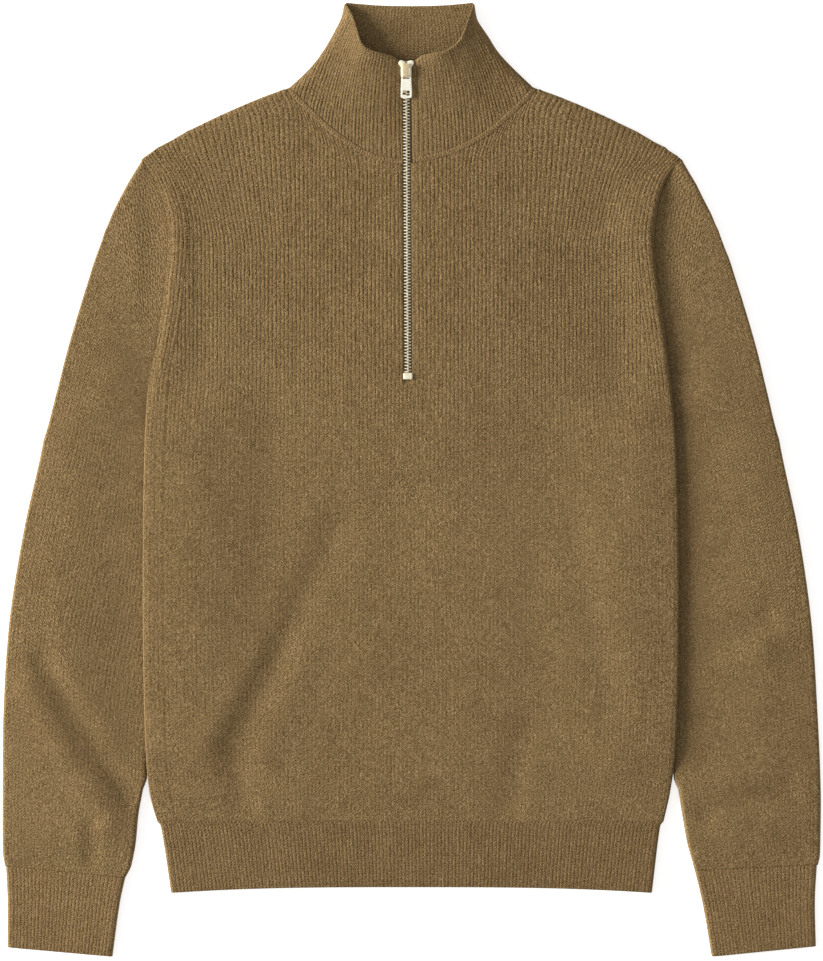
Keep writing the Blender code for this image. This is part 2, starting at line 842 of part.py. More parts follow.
def make_collar(finish):
    ups = [k / (COLLAR_ROWS - 1) for k in range(COLLAR_ROWS)]

    def rise_of(index, share):
        return RIB_RISE if index % 2 and 0 < share < 1 else 0.0

    plain_ups = [0.02] + ups[1:]
    outer, inner = band_skins(2 * COLLAR_RIBS, ups, plain_ups, collar_front_z, rise_of, collar_spot)
    return cloth_wall("collar", finish, outer, inner)


def make_neck_band(finish):
    """The smooth linked band just outside the collar's ribs."""

    def spot_of(side, share, up, front):
        x, y = collar_spot(side, share, 0.0, front)
        ahead = collar_spot(side, min(1.0, share + 0.02), 0.0, front)
        behind = collar_spot(side, max(0.0, share - 0.02), 0.0, front)
        run = math.dist(ahead, behind)
        reach = mix(NECK_BAND + SEAM_GAP, 1.5 * SEAM_GAP, up)
        sign = SIDES[side]
        aside = Spot(sign * (ahead[1] - behind[1]) / run, sign * (behind[0] - ahead[0]) / run)
        return x + reach * aside.x, y + reach * aside.y

    def z_of(side, share, up):
        fold = collar_spot(side, 1.0, 0.0, True)
        away = math.dist(collar_spot(side, share, 0.0, True), fold)
        plain = neck_z(*collar_spot(side, share, 0.0, True)) + NECK_BAND_RISE
        return mix(FOLD_Z, plain, roll(away, COLLAR_ROLL))

    plain_ups = (PLAIN_SHY / NECK_BAND, 1 - PLAIN_SHY / NECK_BAND)
    outer, inner = band_skins(NECK_BAND_SPANS, (0.0, 1.0), plain_ups, z_of, lambda index, share: 0.0, spot_of)
    return cloth_wall("neck_band", finish, outer, inner)


# ---------------------------------------------------------------- zip


def zip_line():
    """(y, height of the cloth's outer face) along the zip, from its bottom to its top."""
    line = [(y, front_z(x, y, level, front_top(x))) for x, y, level in body_rows(ZIP_COLUMN, front_top, True)]
    line = [(y, z) for y, z in line if y >= ZIP_BOTTOM_Y - 10]
    for k in range(COLLAR_ROWS):
        up = k / (COLLAR_ROWS - 1)
        line.append((collar_spot("right", 0.0, up, True)[1], collar_front_z("right", 0.0, up)))
    return line


def zip_height(y):
    return height_on([Spot(*spot) for spot in zip_line()], y)


def zip_strip(name, finish, width, low, high, start, end):
    """A strip along the zip, between two heights from the cloth's outer face."""
    stations = [start] + [y for y, _ in zip_line() if start + 1 < y < end - 1] + [end]
    skins = []
    for offset in (high, low):
        skin = []
        for k, part in enumerate((-0.5, 0.5)):
            skin.append(Column(k, [(zip_x(y) + part * width, y, zip_height(y) + offset) for y in stations]))
        skins.append(skin)
    return cloth_wall(name, finish, *skins)


TAPE_TOP = -WALL - LAYER_GAP
CHAIN_LOW = TAPE_TOP + LAYER_GAP
CHAIN_HIGH = RIB_RISE


def make_zip(cloth, metal):
    zip_strip("zip_tape", cloth, TAPE_WIDTH, TAPE_TOP - TAPE_THICK, TAPE_TOP, ZIP_BOTTOM_Y - 2, ZIP_TOP_Y)
    start = ZIP_BOTTOM_Y + STOP_LENGTH + SEAM_GAP
    zip_strip("zip_chain", metal, CHAIN_WIDTH, CHAIN_LOW, CHAIN_HIGH, start, ZIP_TOP_Y)
    end = ZIP_BOTTOM_Y + STOP_LENGTH
    zip_strip("zip_bottom_stop", metal, STOP_WIDTH, CHAIN_LOW, STOP_PROUD, ZIP_BOTTOM_Y, end)


# ---------------------------------------------------------------- slider and pull tab


def slider_frame():
    """Middle of the slider's top edge on the chain, and the chain's slope there."""
    y = ZIP_TOP_Y + 1.0
    slope = (zip_height(ZIP_TOP_Y) - zip_height(ZIP_TOP_Y - SLIDER_LENGTH)) / SLIDER_LENGTH
    return Spot(zip_x(y), y), math.atan(slope)


def block(form, corners, low, high):
    """Closed prism over plan corners, counter-clockwise seen from above."""
    rings = [[form.verts.new((x * MM, y * MM, z * MM)) for x, y in corners] for z in (low, high)]
    form.faces.new(list(reversed(rings[0])))
    form.faces.new(rings[1])
    for k in range(len(corners)):
        n = (k + 1) % len(corners)
        form.faces.new((rings[0][k], rings[0][n], rings[1][n], rings[1][k]))


def cutter(name, shape):
    """A hidden solid that a Boolean works with."""
    mesh = bpy.data.meshes.new(name)
    form = bmesh.new()
    shape(form)
    form.to_mesh(mesh)
    form.free()
    made = bpy.data.objects.new(name, mesh)
    bpy.context.scene.collection.objects.link(made)
    made.hide_render = True
    made.display_type = "WIRE"
    return made


def boolean(target, tool, operation):
    cut = target.modifiers.new(tool.name, "BOOLEAN")
    cut.operation = operation
    cut.solver = "EXACT"
    cut.object = tool
    tool.parent = target


def bevel(target, width):
    soft = target.modifiers.new("soft edges", "BEVEL")
    soft.width = width * MM
    soft.segments = 1
    soft.limit_method = "ANGLE"
    soft.angle_limit = math.radians(40)


def slider_outline():
    """Two rounded lobes at the crown, narrowing to the tail, seen from above; y runs back from the crown."""
    half, tail = SLIDER_WIDTH / 2, SLIDER_TAIL / 2
    right = [(0.0, -1.6), (2.2, -0.2), (4.2, 0.0), (5.8, -0.9), (half, -2.8), (half - 0.6, -6.0)]
    right += [(tail, -10.0), (tail, 1.0 - SLIDER_LENGTH), (tail - 1.0, -SLIDER_LENGTH)]
    left = [(-x, y) for x, y in reversed(right) if x > 0]
    return list(reversed(right + left))


PLATE_LOW = CHAIN_HIGH + LAYER_GAP
PIVOT_Z = PLATE_LOW + PLATE + PIVOT_CLEAR
PIVOT_Y = -6.0


def make_slider(metal):
    """Top plate with the bridge that carries the pull's bar."""
    place, slope = slider_frame()
    mesh = bpy.data.meshes.new("zip_slider")
    form = bmesh.new()
    block(form, slider_outline(), PLATE_LOW, PLATE_LOW + PLATE)
    form.to_mesh(mesh)
    form.free()
    slider = new_object("zip_slider", mesh, metal)
    half = BRIDGE_WIDTH / 2
    top = PIVOT_Z + PIVOT_CLEAR + BRIDGE_THICK
    start = -3.0

    def arch(form):
        """Side view of the bridge, pushed out to its width."""
        low = PLATE_LOW + PLATE - 0.4
        under = PIVOT_Z + PIVOT_CLEAR
        end = start - BRIDGE_LENGTH + 1.4
        side = [(start, low), (start, top - 0.9), (start - 1.2, top), (PIVOT_Y - 2.6, top)]
        side += [(end, low + 1.0), (end, low)]
        hollow = [(end + 3.0, low), (PIVOT_Y - 2.6, under), (start - 1.5, under), (start - 1.5, low)]
        ring = side + hollow
        faces = []
        for x in (-half, half):
            faces.append([form.verts.new((x * MM, y * MM, z * MM)) for y, z in ring])
        form.faces.new(faces[0])
        form.faces.new(list(reversed(faces[1])))
        for k in range(len(ring)):
            n = (k + 1) % len(ring)
            form.faces.new((faces[0][n], faces[0][k], faces[1][k], faces[1][n]))
        bmesh.ops.recalc_face_normals(form, faces=form.faces)

    boolean(slider, cutter("bridge_shape", arch), "UNION")
    bevel(slider, 0.25)
    slider.location = (place.x * MM, place.y * MM, zip_height(ZIP_TOP_Y) * MM)
    slider.rotation_euler = (slope, 0.0, 0.0)


def make_pull(metal):
    """Flat tab whose bar lies under the bridge; its origin is on the bar's axis."""
    place, slope = slider_frame()
    half = PULL_WIDTH / 2
    thick = PULL_THICK / 2
    back = PULL_BAR / 2
    mesh = bpy.data.meshes.new("zip_pull")
    form = bmesh.new()
    corner = 1.6
    end = back - PULL_LENGTH
    outline = [(-half + corner, back), (-half, back - corner), (-half, end + corner), (-half + corner, end)]
    outline += [(-x, y) for x, y in reversed(outline)]
    block(form, outline, -thick, thick)
    form.to_mesh(mesh)
    form.free()
    pull = new_object("zip_pull", mesh, metal)

    def window(width, low, high):
        """A shape that cuts a rectangle through the tab."""
        corners = [(-width / 2, low), (width / 2, low), (width / 2, high), (-width / 2, high)]
        return lambda form: block(form, corners, -PULL_THICK, PULL_THICK)

    hole_width, hole_height = PULL_HOLE
    hole_low = end + PULL_HOLE_TO_END - hole_height / 2
    slot = window(PULL_SLOT_WIDTH, -back - PULL_SLOT_LENGTH, -back)
    hole = window(hole_width, hole_low, hole_low + hole_height)
    boolean(pull, cutter("pull_slot", slot), "DIFFERENCE")
    boolean(pull, cutter("pull_hole", hole), "DIFFERENCE")
    bevel(pull, 0.25)
    along, up = PIVOT_Y * MM, PIVOT_Z * MM
    pull.location = (
        place.x * MM,
        place.y * MM + along * math.cos(slope) - up * math.sin(slope),
        zip_height(ZIP_TOP_Y) * MM + along * math.sin(slope) + up * math.cos(slope),
    )
    pull.rotation_euler = (slope + PULL_TILT, 0.0, 0.0)


# ---------------------------------------------------------------- materials


def material(name, colour, roughness, metallic):
    made = bpy.data.materials.new(name)
    made.use_nodes = True
    shader = made.node_tree.nodes["Principled BSDF"]
    shader.inputs["Base Color"].default_value = (*colour, 1.0)
    shader.inputs["Roughness"].default_value = roughness
    shader.inputs["Metallic"].default_value = metallic
    return made


def knit(name):
    return material(name, (0.223, 0.147, 0.065), 0.95, 0.0)


def clear_scene():
    for item in list(bpy.data.objects):
        bpy.data.objects.remove(item, do_unlink=True)


def main():
    clear_scene()
    make_front(knit("front knit"))
    make_back(knit("back knit"))
    for side in SIDES:
        make_sleeve(side, knit(f"{side} sleeve knit"))
        make_cuff(side, knit(f"{side} cuff rib"))
    make_hem(knit("hem rib"))
    make_collar(knit("collar rib"))
    make_neck_band(knit("linked band"))
    brass = material("polished brass", (0.83, 0.66, 0.36), 0.25, 1.0)
    make_zip(material("zip tape", (0.14, 0.09, 0.04), 0.9, 0.0), brass)
    make_slider(brass)
    make_pull(brass)


main()
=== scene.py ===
"""Quarter zip sweater: its knit, its zip and a small studio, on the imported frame.

The tables and shapes are in millimetres and become metres when a mesh is made. +X is the wearer's left,
+Y runs from the hem to the collar and +Z is up from the surface that the sweater lies on.
"""

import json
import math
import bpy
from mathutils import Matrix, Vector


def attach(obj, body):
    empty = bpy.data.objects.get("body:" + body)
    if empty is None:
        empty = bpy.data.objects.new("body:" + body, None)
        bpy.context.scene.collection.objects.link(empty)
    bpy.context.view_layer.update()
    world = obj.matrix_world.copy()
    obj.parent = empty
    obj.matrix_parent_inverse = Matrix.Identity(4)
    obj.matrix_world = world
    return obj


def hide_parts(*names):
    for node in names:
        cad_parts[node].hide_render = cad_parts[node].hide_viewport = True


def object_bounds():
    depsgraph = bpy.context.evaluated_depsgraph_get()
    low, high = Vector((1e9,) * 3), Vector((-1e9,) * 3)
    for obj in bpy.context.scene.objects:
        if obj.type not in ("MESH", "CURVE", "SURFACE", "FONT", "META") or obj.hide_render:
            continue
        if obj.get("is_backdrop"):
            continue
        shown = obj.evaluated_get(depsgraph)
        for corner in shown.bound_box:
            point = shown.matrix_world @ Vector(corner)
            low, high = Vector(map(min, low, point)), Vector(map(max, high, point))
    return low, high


bl_info = {
    "name": "Quarter Zip Sweater",
    "version": (1, 0, 0),
    "blender": (4, 5, 0),
    "location": "3D View > Sidebar > Sweater",
    "description": "Knits the cloth of a quarter zip sweater, makes its zip and sets the studio",
    "category": "Object",
}

from collections import namedtuple

import bmesh
import bpy
from bpy.props import FloatProperty, FloatVectorProperty, PointerProperty
from mathutils import Matrix, Vector, noise

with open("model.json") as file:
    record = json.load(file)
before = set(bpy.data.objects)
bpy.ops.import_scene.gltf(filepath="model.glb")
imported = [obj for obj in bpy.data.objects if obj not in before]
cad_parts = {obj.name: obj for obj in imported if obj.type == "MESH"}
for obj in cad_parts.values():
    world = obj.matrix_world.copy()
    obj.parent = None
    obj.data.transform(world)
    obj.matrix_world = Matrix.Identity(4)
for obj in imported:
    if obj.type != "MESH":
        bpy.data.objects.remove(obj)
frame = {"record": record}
CAD_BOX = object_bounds()
SLOT_COLOURS = {m["slot"]: tuple(m["base_color"][:3]) for m in frame["record"]["materials"]}

MM = 0.001
SIDES = {"right": -1, "left": 1}

# Cloth
WALL = 2.0
LAYER_GAP = 0.3
EDGE_Z = 2 * WALL + LAYER_GAP
FOLD_Z = WALL + 0.2
MOST_AIR = 5.2
AIR_AT_FOLDS = 1.3
RIB_AIR = 1.0
BODY_CROWN = 1.4
SLEEVE_CROWN = 1.9
LIP = 1.0
SEAM_LIP = 0.2
TRIM_LIP = 0.3
SOFT_LIP = 0.9
TRIM_EVEN = 0.4
SEAM_OVERLAP = 0.12
INNER_FULL = 0.5
PLAIN_FULL = 0.4

# The rise of one rib, as a share at each of its places
RIB_SHAPE = (0.0, 0.72, 1.0, 1.0, 0.72)
RIB_STEPS = len(RIB_SHAPE)

# Body
HALF_CHEST = 229.5
HEM_SEAM_Y = -293.5
SHOULDER_TIP_Y = 275.5
UNDERARM_Y = 86.5
NARROW_Y = 203.0
BODY_ROWS = 94
EDGE_DROPS = [4.2, 2.6, 1.5, 0.8, 0.35, 0.1, 0.0]
FINE_ROWS = (0.4, 1.2, 2.6)
SIDE_ROLL = 7.0
SHOULDER_ROLL = 6.0
SHOULDER_BLEND = 12.0
SHOULDER_SLOPE = (0.930, -0.368)
SHOULDER_NECK_X = 104.5
BACK_NECK_SAG = 16.0

# Strip of ribs along the armhole and the side
STRIP_RIBS = 5
STRIP_ROLL = {"right": 1.4, "left": 4.4}
STRIP_FOOT = {"right": 0.0, "left": 0.3}
STRIP_ROLL_EDGE = {"right": 8.0, "left": 3.0}
STRIP_ROLL_FADE = 44.0
STRIP_EDGE_FADE = 3.4
STRIP_STATION = 10000
EDGE_INSETS = (0.9, 0.45, 0.15, 0.0)
TIP_LEAN = 0.55
LEAN_LOW = 120.0
LEAN_HIGH = 110.0
NECK_LEAN = 6.5
NECK_LEAN_DEPTH = 20.0

# Where the body lies on the sleeves' inner strips
LAST_FLAT_Y = -262.0
LIFT_FULL = (-225.0, 50.0)
LIFT = EDGE_Z + LAYER_GAP
LIFT_RAMP = 20.0
SOFT_RAMP = 100.0
LIFT_MARGIN = 8.0
LIFT_ROW = 65.0
COVER_MARGIN = 2.0
COVER_FADE = 82.0

# Collar and linked band
NECK_BAND = 5.0
NECK_BAND_RISE = 0.5
NECK_SEAM_STEPS = 48
BAND_ROWS = 8
BAND_STEPS = 90
BAND_BACK = (0.0, 0.2, 0.4, 0.6, 0.8, 0.96, 0.985)
BAND_INSET = 0.018
BACK_COLLAR_SAG = 0.9
COLLAR_ROLL = 9.0
BACK_ROLL = 3.2
COLLAR_RISE_AT_ZIP = 4.0
COLLAR_RISE_MID = 6.5
COLLAR_RISE_BEND = 1.3
COLLAR_ROWS = 26
COLLAR_PITCH = (3.6, 2.7)
COLLAR_HEIGHT = 86.0
COLLAR_ROW = 70.0
COLLAR_SLIT = 9.2
COLLAR_NOTCH = 4.0
COLLAR_PUFF = 1.6
CORNER = 4.0
CORNER_FROM = 0.82
CORNER_SPREAD = 3.2
CORNER_RISE = 2.3
HALF_TURN = 20000

# Hem, cuffs and sleeves
HEM_HALF_END = 207.0
HEM_END_Y = -355.0
HEM_MID_Y = -350.0
HEM_PINCH = 1.8
HEM_ROWS = 12
HEM_FULL = 0.5
CUFF_RIBS = 31
CUFF_ROWS = 10
CUFF_ROW = 38.0
CUFF_FULL = 0.46
SLEEVE_RIBS = 40
SLEEVE_ROWS = 15
SLEEVE_ROW = 60.0
SLEEVE_FULL = 0.24
ARMHOLE_STEPS = 40
ARMHOLE_CROWN = 0.3
TUBE_ROLL = 3.2
UNDER_ROLL = 2.4
UNDER_STEPS = 12
FOLD_INSETS = (0.35, 1.1, 2.2)
INNER_INSET = 2.0

# Zip
SLIT = 7.0
SLIT_FADE = 40.0
SLIT_RIBS = 2
SLIT_EDGES = (-SLIT_RIBS * RIB_STEPS, 0)
SLIT_Y = 86.3
SLIT_LIP = 1.4
ZIP_X = -3.0
ZIP_DRIFT = -1.5 / 273
ZIP_BOTTOM_Y = 87.0
ZIP_TOP_Y = 361.0
TAPE_WIDTH = 24.0
TAPE_THICK = 0.8
TAPE_DROP = WALL + 0.35
TAPE_STEPS = 70
TAPE_COLUMNS = 8

# Teeth, slider and pull
CHAIN_HALF = 2.85
TOOTH_REACH = 0.7
TOOTH_HALF = 0.42
TOOTH_LOW = -2.3
TOOTH_HIGH = 0.8
STOP_LENGTH = 5.5
STOP_WIDTH = 7.7
STOP_PROUD = 1.3
STOP_ROUND = 0.9
SLIDER_TOP = -1.2
SLIDER_LENGTH = 16.0
SLIDER_WIDTH = 13.0
SLIDER_TAIL = 9.0
SLIDER_WAIST_Y = -7.0
NOTCH_HALF = 1.4
NOTCH_DEPTH = 3.8
PLATE_LOW = 1.1
PLATE_TOP = PLATE_LOW + 1.2
BRIDGE_WIDTH = 4.9
BRIDGE_LENGTH = 11.4
BRIDGE_START = -4.0
BRIDGE_THICK = 1.1
LEG_START = 1.0
LEG_END = 2.2
PIVOT_CLEAR = 1.6
PIVOT_Y = -6.0
PIVOT_Z = PLATE_TOP + PIVOT_CLEAR
PULL_WIDTH = 9.5
PULL_TAPER = 0.89
PULL_LENGTH = 28.4
PULL_THICK = 1.5
PULL_BAR = 1.7
PULL_SLOT = (6.0, 10.3)
PULL_HOLE = (6.0, 4.3)
PULL_HOLE_TO_END = 4.2
PULL_TILT = math.radians(2.6)

# Roundings and small shifts of the metal pieces
TOOTH_SOFT = 0.18
METAL_SOFT = 0.3
BRIDGE_SOFT = 0.4
PULL_SOFT = 0.28
STOP_CROWN = 0.35
SLIDER_CUTS = (-10.0, SLIDER_WAIST_Y, -5.6)
CROWN_SIDE = 4.0
CROWN_DIP = 0.8
CROWN_ROUND = 2.1
TAIL_ROUND = 1.2
ARCH_ROUND = 1.0
BRIDGE_SINK = 0.4
BRIDGE_TAPER = 0.74
BRIDGE_FLARE = 1.14
PULL_ROUND = 1.6
WINDOW_ROUND = 0.6
NEAR = 0.1
SAME = 0.01

Edge = namedtuple("Edge", "y right left")


def table(kind, *rows):
    """Rows of numbers as named rows."""
    return [kind(*row) for row in rows]


# Outline of the body from the hem seam up its sides and armholes to the shoulder tip: half widths.
BODY_EDGE = table(
    Edge, (-293.5, 219, 217), (-272, 225, 222), (-247, 228, 226), (-189, 230, 229), (-103, 231, 230),
    (-17, 230.5, 229), (43, 229, 226.5), (86.5, 226, 223.3), (120, 219.5, 219), (150, 214.5, 214.5),
    (203, 209.5, 208.5), (228, 210.8, 210.5), (248.5, 216.5, 215), (267, 225, 223.5),
    (275.5, 232.5, 233.5),
)

# Outer fold of each sleeve, from the cuff seam up to the shoulder tip.
SLEEVE_OUTER = table(
    Edge, (-331, 350.2, 350), (-324, 351.6, 351.6), (-313, 352.2, 352.1), (-266, 352.2, 352.4),
    (-197.5, 351.4, 349.5), (-120, 346.2, 344.2), (-42.5, 333.8, 332.9), (35, 316.9, 316.7),
    (75, 306, 306.6), (112, 296.5, 297.6), (150, 285.4, 286.6), (189.5, 273.3, 274.3),
    (215, 264.1, 264.5), (230, 257.7, 258), (242.5, 252.1, 251.8), (255, 246.4, 246.2),
    (265, 241.2, 240.6), (275.5, 235, 234.8),
)

# Inner fold of each sleeve: it leaves the underarm, lies under the body's side and comes out near the hem.
SLEEVE_INNER = table(
    Edge, (-342, 246.5, 245.5), (-333, 241.5, 243), (-313, 237.5, 237.5), (-287, 235, 233),
    (-266, 231.2, 229.7), (-256, 227.6, 225.6), (-250, 227.8, 225.7), (-240, 227.5, 225.7),
    (-225, 225.6, 224.2), (-200, 222.5, 221.5), (-150, 212, 211), (-90, 208, 207), (-30, 211, 209.5),
    (20, 220, 218), (50, 225.5, 222.6), (68, 226.9, 224.3), (86.5, 227, 224.3),
)

# Rings of a sleeve from the armhole to the cuff: the heights where each meets its two folds.
Ring = namedtuple("Ring", "outer_y inner_y")
SLEEVE_RINGS = table(
    Ring, (225, 50), (135, -25), (35, -105), (-75, -180), (-180, -228), (-290, -292),
)

# Rows of each cuff from its seam to its end: where each meets the outer and the inner fold.
Cuff = namedtuple("Cuff", "outer_x outer_y inner_x inner_y")
CUFFS = {
    "right": table(
        Cuff, (349.3, -332, 246.5, -342), (347.8, -362, 251.5, -366), (347.8, -402, 257.5, -410),
    ),
    "left": table(
        Cuff, (349.1, -331, 244, -336), (347.4, -362, 251, -366), (348.2, -401, 258.5, -410),
    ),
}

# Shoulder line, neck seam and the collar's edges; x is measured out from the middle.
Spot = namedtuple("Spot", "x y")
SHOULDER = table(
    Spot, (104.5, 338.7), (134, 327.6), (165, 314.2), (194, 300.2), (219, 286.6), (229, 279.4),
    (233.5, 275.5),
)
NECK = {
    "right": table(
        Spot, (7.8, 276.5), (33, 281.5), (53, 293), (70, 305.5), (86.5, 321), (104.5, 338.7),
    ),
    "left": table(
        Spot, (1.8, 278), (21, 281.5), (39, 287.5), (65, 301.5), (85.5, 319.5), (104.5, 338.7),
    ),
}
COLLAR_TOP = {
    "right": table(
        Spot, (9, 363), (23, 366), (35, 369.5), (42, 375), (45.5, 387), (48.5, 398), (54, 409.6),
    ),
    "left": table(
        Spot, (0.6, 362.5), (14, 366), (30.5, 369.5), (40, 377.5), (44.5, 387), (47, 396),
        (50.5, 409.6),
    ),
}
COLLAR_SIDE = {
    "right": table(
        Spot, (104.5, 338.7), (87.5, 355), (77, 368.5), (68.5, 382.5), (61.5, 396), (54, 409.6),
    ),
    "left": table(
        Spot, (104.5, 338.7), (87.5, 355), (75, 368.5), (66, 382.5), (57, 396), (50.5, 409.6),
    ),
}

# Soft folds: a trough or, with a negative depth, a ridge between two places.
Crease = namedtuple("Crease", "x0 y0 x1 y1 width depth")
BODY_CREASES = table(
    Crease, (-182, 213, -182, 110, 13, 0.8), (-124, 86, -124, -45, 14, 0.5),
    (-68, -40, -110, -137, 15, 1.5), (-110, -137, -152, -225, 14, 1.9),
    (-152, -225, -145, -281, 13, 1.5), (-88, -60, -134, -150, 16, -0.9),
    (-134, -150, -176, -232, 15, -1.2), (-92, -150, -128, -240, 16, -0.8),
    (142, -45, 151, -103, 15, 1.1), (151, -103, 173, -189, 15, 1.2), (99, -212, 82, -286, 13, 1.3),
)
SLEEVE_CREASES = table(
    Crease, (-229, 262, -221, 205, 11, 1.2), (-221, 205, -226, 140, 10, 0.6),
    (222, 250, 216, 205, 17, 1.6), (216, 205, 222, 130, 19, 1.8), (222, 130, 234, 60, 19, 1.8),
    (-317, -157, -279, -216, 11, 2.7), (-279, -216, -243, -270, 9, 2.9),
    (-333, -178, -295, -238, 12, -1.5), (-295, -238, -260, -292, 12, -1.5),
    (-257, -92, -236, -126, 9, 0.8), (-276, -294, -276, -326, 8, 1.1), (240, -146, 306, -120, 10, 2.3),
    (240, -172, 300, -146, 11, -1.2), (254, -286, 323, -264, 11, 1.7),
)
COLLAR_CREASES = table(
    Crease, (41.7, 374.5, 22.8, 320, 9, 1.2),
)


# ---------------------------------------------------------------- shape helpers


def clamp(share):
    return min(1.0, max(0.0, share))


def ease(share):
    """0 to 1 with level ends."""
    share = clamp(share)
    return share * share * (3 - 2 * share)


def mix(first, second, share):
    return first + (second - first) * share


def shares(count):
    """Even shares from 0 to 1."""
    return [k / count for k in range(count + 1)]


def roll(distance, radius):
    """Height share of a rounded edge at a distance from it."""
    return math.sqrt(1 - (1 - clamp(distance / radius)) ** 2)


def lip(distance, reach=LIP):
    """Share by which a wall's face has fallen at a distance from its rounded edge."""
    return 1.0 - roll(distance, reach)


def smooth_between(before, first, second, after, share):
    """Catmull-Rom value between the middle two of four numbers."""
    lean_first = (second - before) / 2
    lean_second = (after - first) / 2
    cube = 2 * first - 2 * second + lean_first + lean_second
    square = -3 * first + 3 * second - 2 * lean_first - lean_second
    return ((cube * share + square) * share + lean_first) * share + first


def edge_at(rows, side, y):
    """Half width of an outline at a height."""
    y = min(rows[-1].y, max(rows[0].y, y))
    i = next(k for k in range(len(rows) - 1) if y <= rows[k + 1].y)
    first, second = rows[i], rows[i + 1]
    ends = (getattr(first, side), getattr(second, side))
    before = getattr(rows[i - 1], side) if i else 2 * ends[0] - ends[1]
    after = getattr(rows[i + 2], side) if i + 2 < len(rows) else 2 * ends[1] - ends[0]
    return smooth_between(before, *ends, after, (y - first.y) / (second.y - first.y))


def spot_along(spots, share):
    """Point at a share of the way along a smooth curve through the spots."""
    steps = [math.dist(a, b) for a, b in zip(spots, spots[1:])]
    left = clamp(share) * sum(steps)
    i = 0
    while i < len(steps) - 1 and left > steps[i]:
        left -= steps[i]
        i += 1
    around = zip(spots[max(0, i - 1)], spots[i], spots[i + 1], spots[min(i + 2, len(steps))])
    return Spot(*(smooth_between(*values, left / steps[i]) for values in around))


def height_on(spots, x):
    """Height at which a line through spots that run outwards crosses an x; it is level before the first."""
    x = max(x, spots[0].x)
    for first, second in zip(spots, spots[1:]):
        if x <= second.x:
            return mix(first.y, second.y, (x - first.x) / (second.x - first.x))
    return spots[-1].y


def middle_of(first, last):
    return (first[0] + last[0]) / 2, (first[1] + last[1]) / 2


def sunk(creases, x, y):
    """Depth of the soft folds at a place; a ridge takes from it."""
    depth = rise = 0.0
    for c in creases:
        run_x, run_y = c.x1 - c.x0, c.y1 - c.y0
        along = clamp(((x - c.x0) * run_x + (y - c.y0) * run_y) / (run_x**2 + run_y**2))
        away = math.hypot(x - c.x0 - along * run_x, y - c.y0 - along * run_y)
        here = c.depth * math.exp(-((away / c.width) ** 2))
        depth, rise = max(depth, here), min(rise, here)
    return cloth().folds * (depth + rise)


def uneven(x, y, seed):
    """Gentle unevenness of the cloth in millimetres; each piece has its own seed."""
    broad = noise.noise(Vector((x / 55, y / 80, seed)))
    small = noise.noise(Vector((x / 21, y / 34, seed + 7.3)))
    return cloth().waviness / MM * (0.75 * broad + 0.35 * small)


def side_of(x):
    return "right" if x < 0 else "left"


# ---------------------------------------------------------------- settings


class SweaterCloth(bpy.types.PropertyGroup):
    """The knit: how far its ribs and folds stand out, and its colours."""

    rib_pitch: FloatProperty(
        name="Rib pitch", description="Distance from one rib to the next", default=0.0034, unit="LENGTH"
    )
    rib_rise: FloatProperty(
        name="Rib rise", description="Height of a full rib", default=0.00034, unit="LENGTH"
    )
    course: FloatProperty(
        name="Course", description="Height of one row of stitches", default=0.0022, unit="LENGTH"
    )
    folds: FloatProperty(
        name="Folds", description="Depth of the soft folds", default=1.0, min=0.0, max=2.0, subtype="FACTOR"
    )
    waviness: FloatProperty(
        name="Waviness", description="Height of the cloth's unevenness", default=0.0005, unit="LENGTH"
    )
    yarn: FloatVectorProperty(
        name="Yarn", description="Colour of the knit", default=SLOT_COLOURS["knit"], size=3, subtype="COLOR"
    )
    trim: FloatVectorProperty(
        name="Trim",
        description="Close rib's colour",
        default=SLOT_COLOURS["rib_trim"],
        size=3,
        subtype="COLOR",
    )


class SweaterZip(bpy.types.PropertyGroup):
    """The zip: its teeth, its metal and its tape."""

    tooth_pitch: FloatProperty(
        name="Tooth pitch", description="Distance between teeth on one side", default=0.0027, unit="LENGTH"
    )
    metal: FloatVectorProperty(
        name="Metal", description="Brass's colour", default=SLOT_COLOURS["brass"], size=3, subtype="COLOR"
    )
    tape: FloatVectorProperty(
        name="Tape", description="Tape's colour", default=SLOT_COLOURS["zip_tape"], size=3, subtype="COLOR"
    )


class SweaterStudio(bpy.types.PropertyGroup):
    """The floor, the lights and the camera."""

    floor: FloatVectorProperty(
        name="Floor", description="Colour of the floor", default=(0.93, 0.93, 0.93), size=3, subtype="COLOR"
    )
    key: FloatProperty(name="Key light", description="Strength of the light from the side", default=7.5)
    fill: FloatProperty(name="Fill light", description="Strength of the light from all round", default=0.46)
    view_height: FloatProperty(
        name="View height", description="Length of cloth in the picture", default=0.8265, unit="LENGTH"
    )


def cloth():
    return bpy.context.scene.sweater_cloth


# ---------------------------------------------------------------- cloth shells


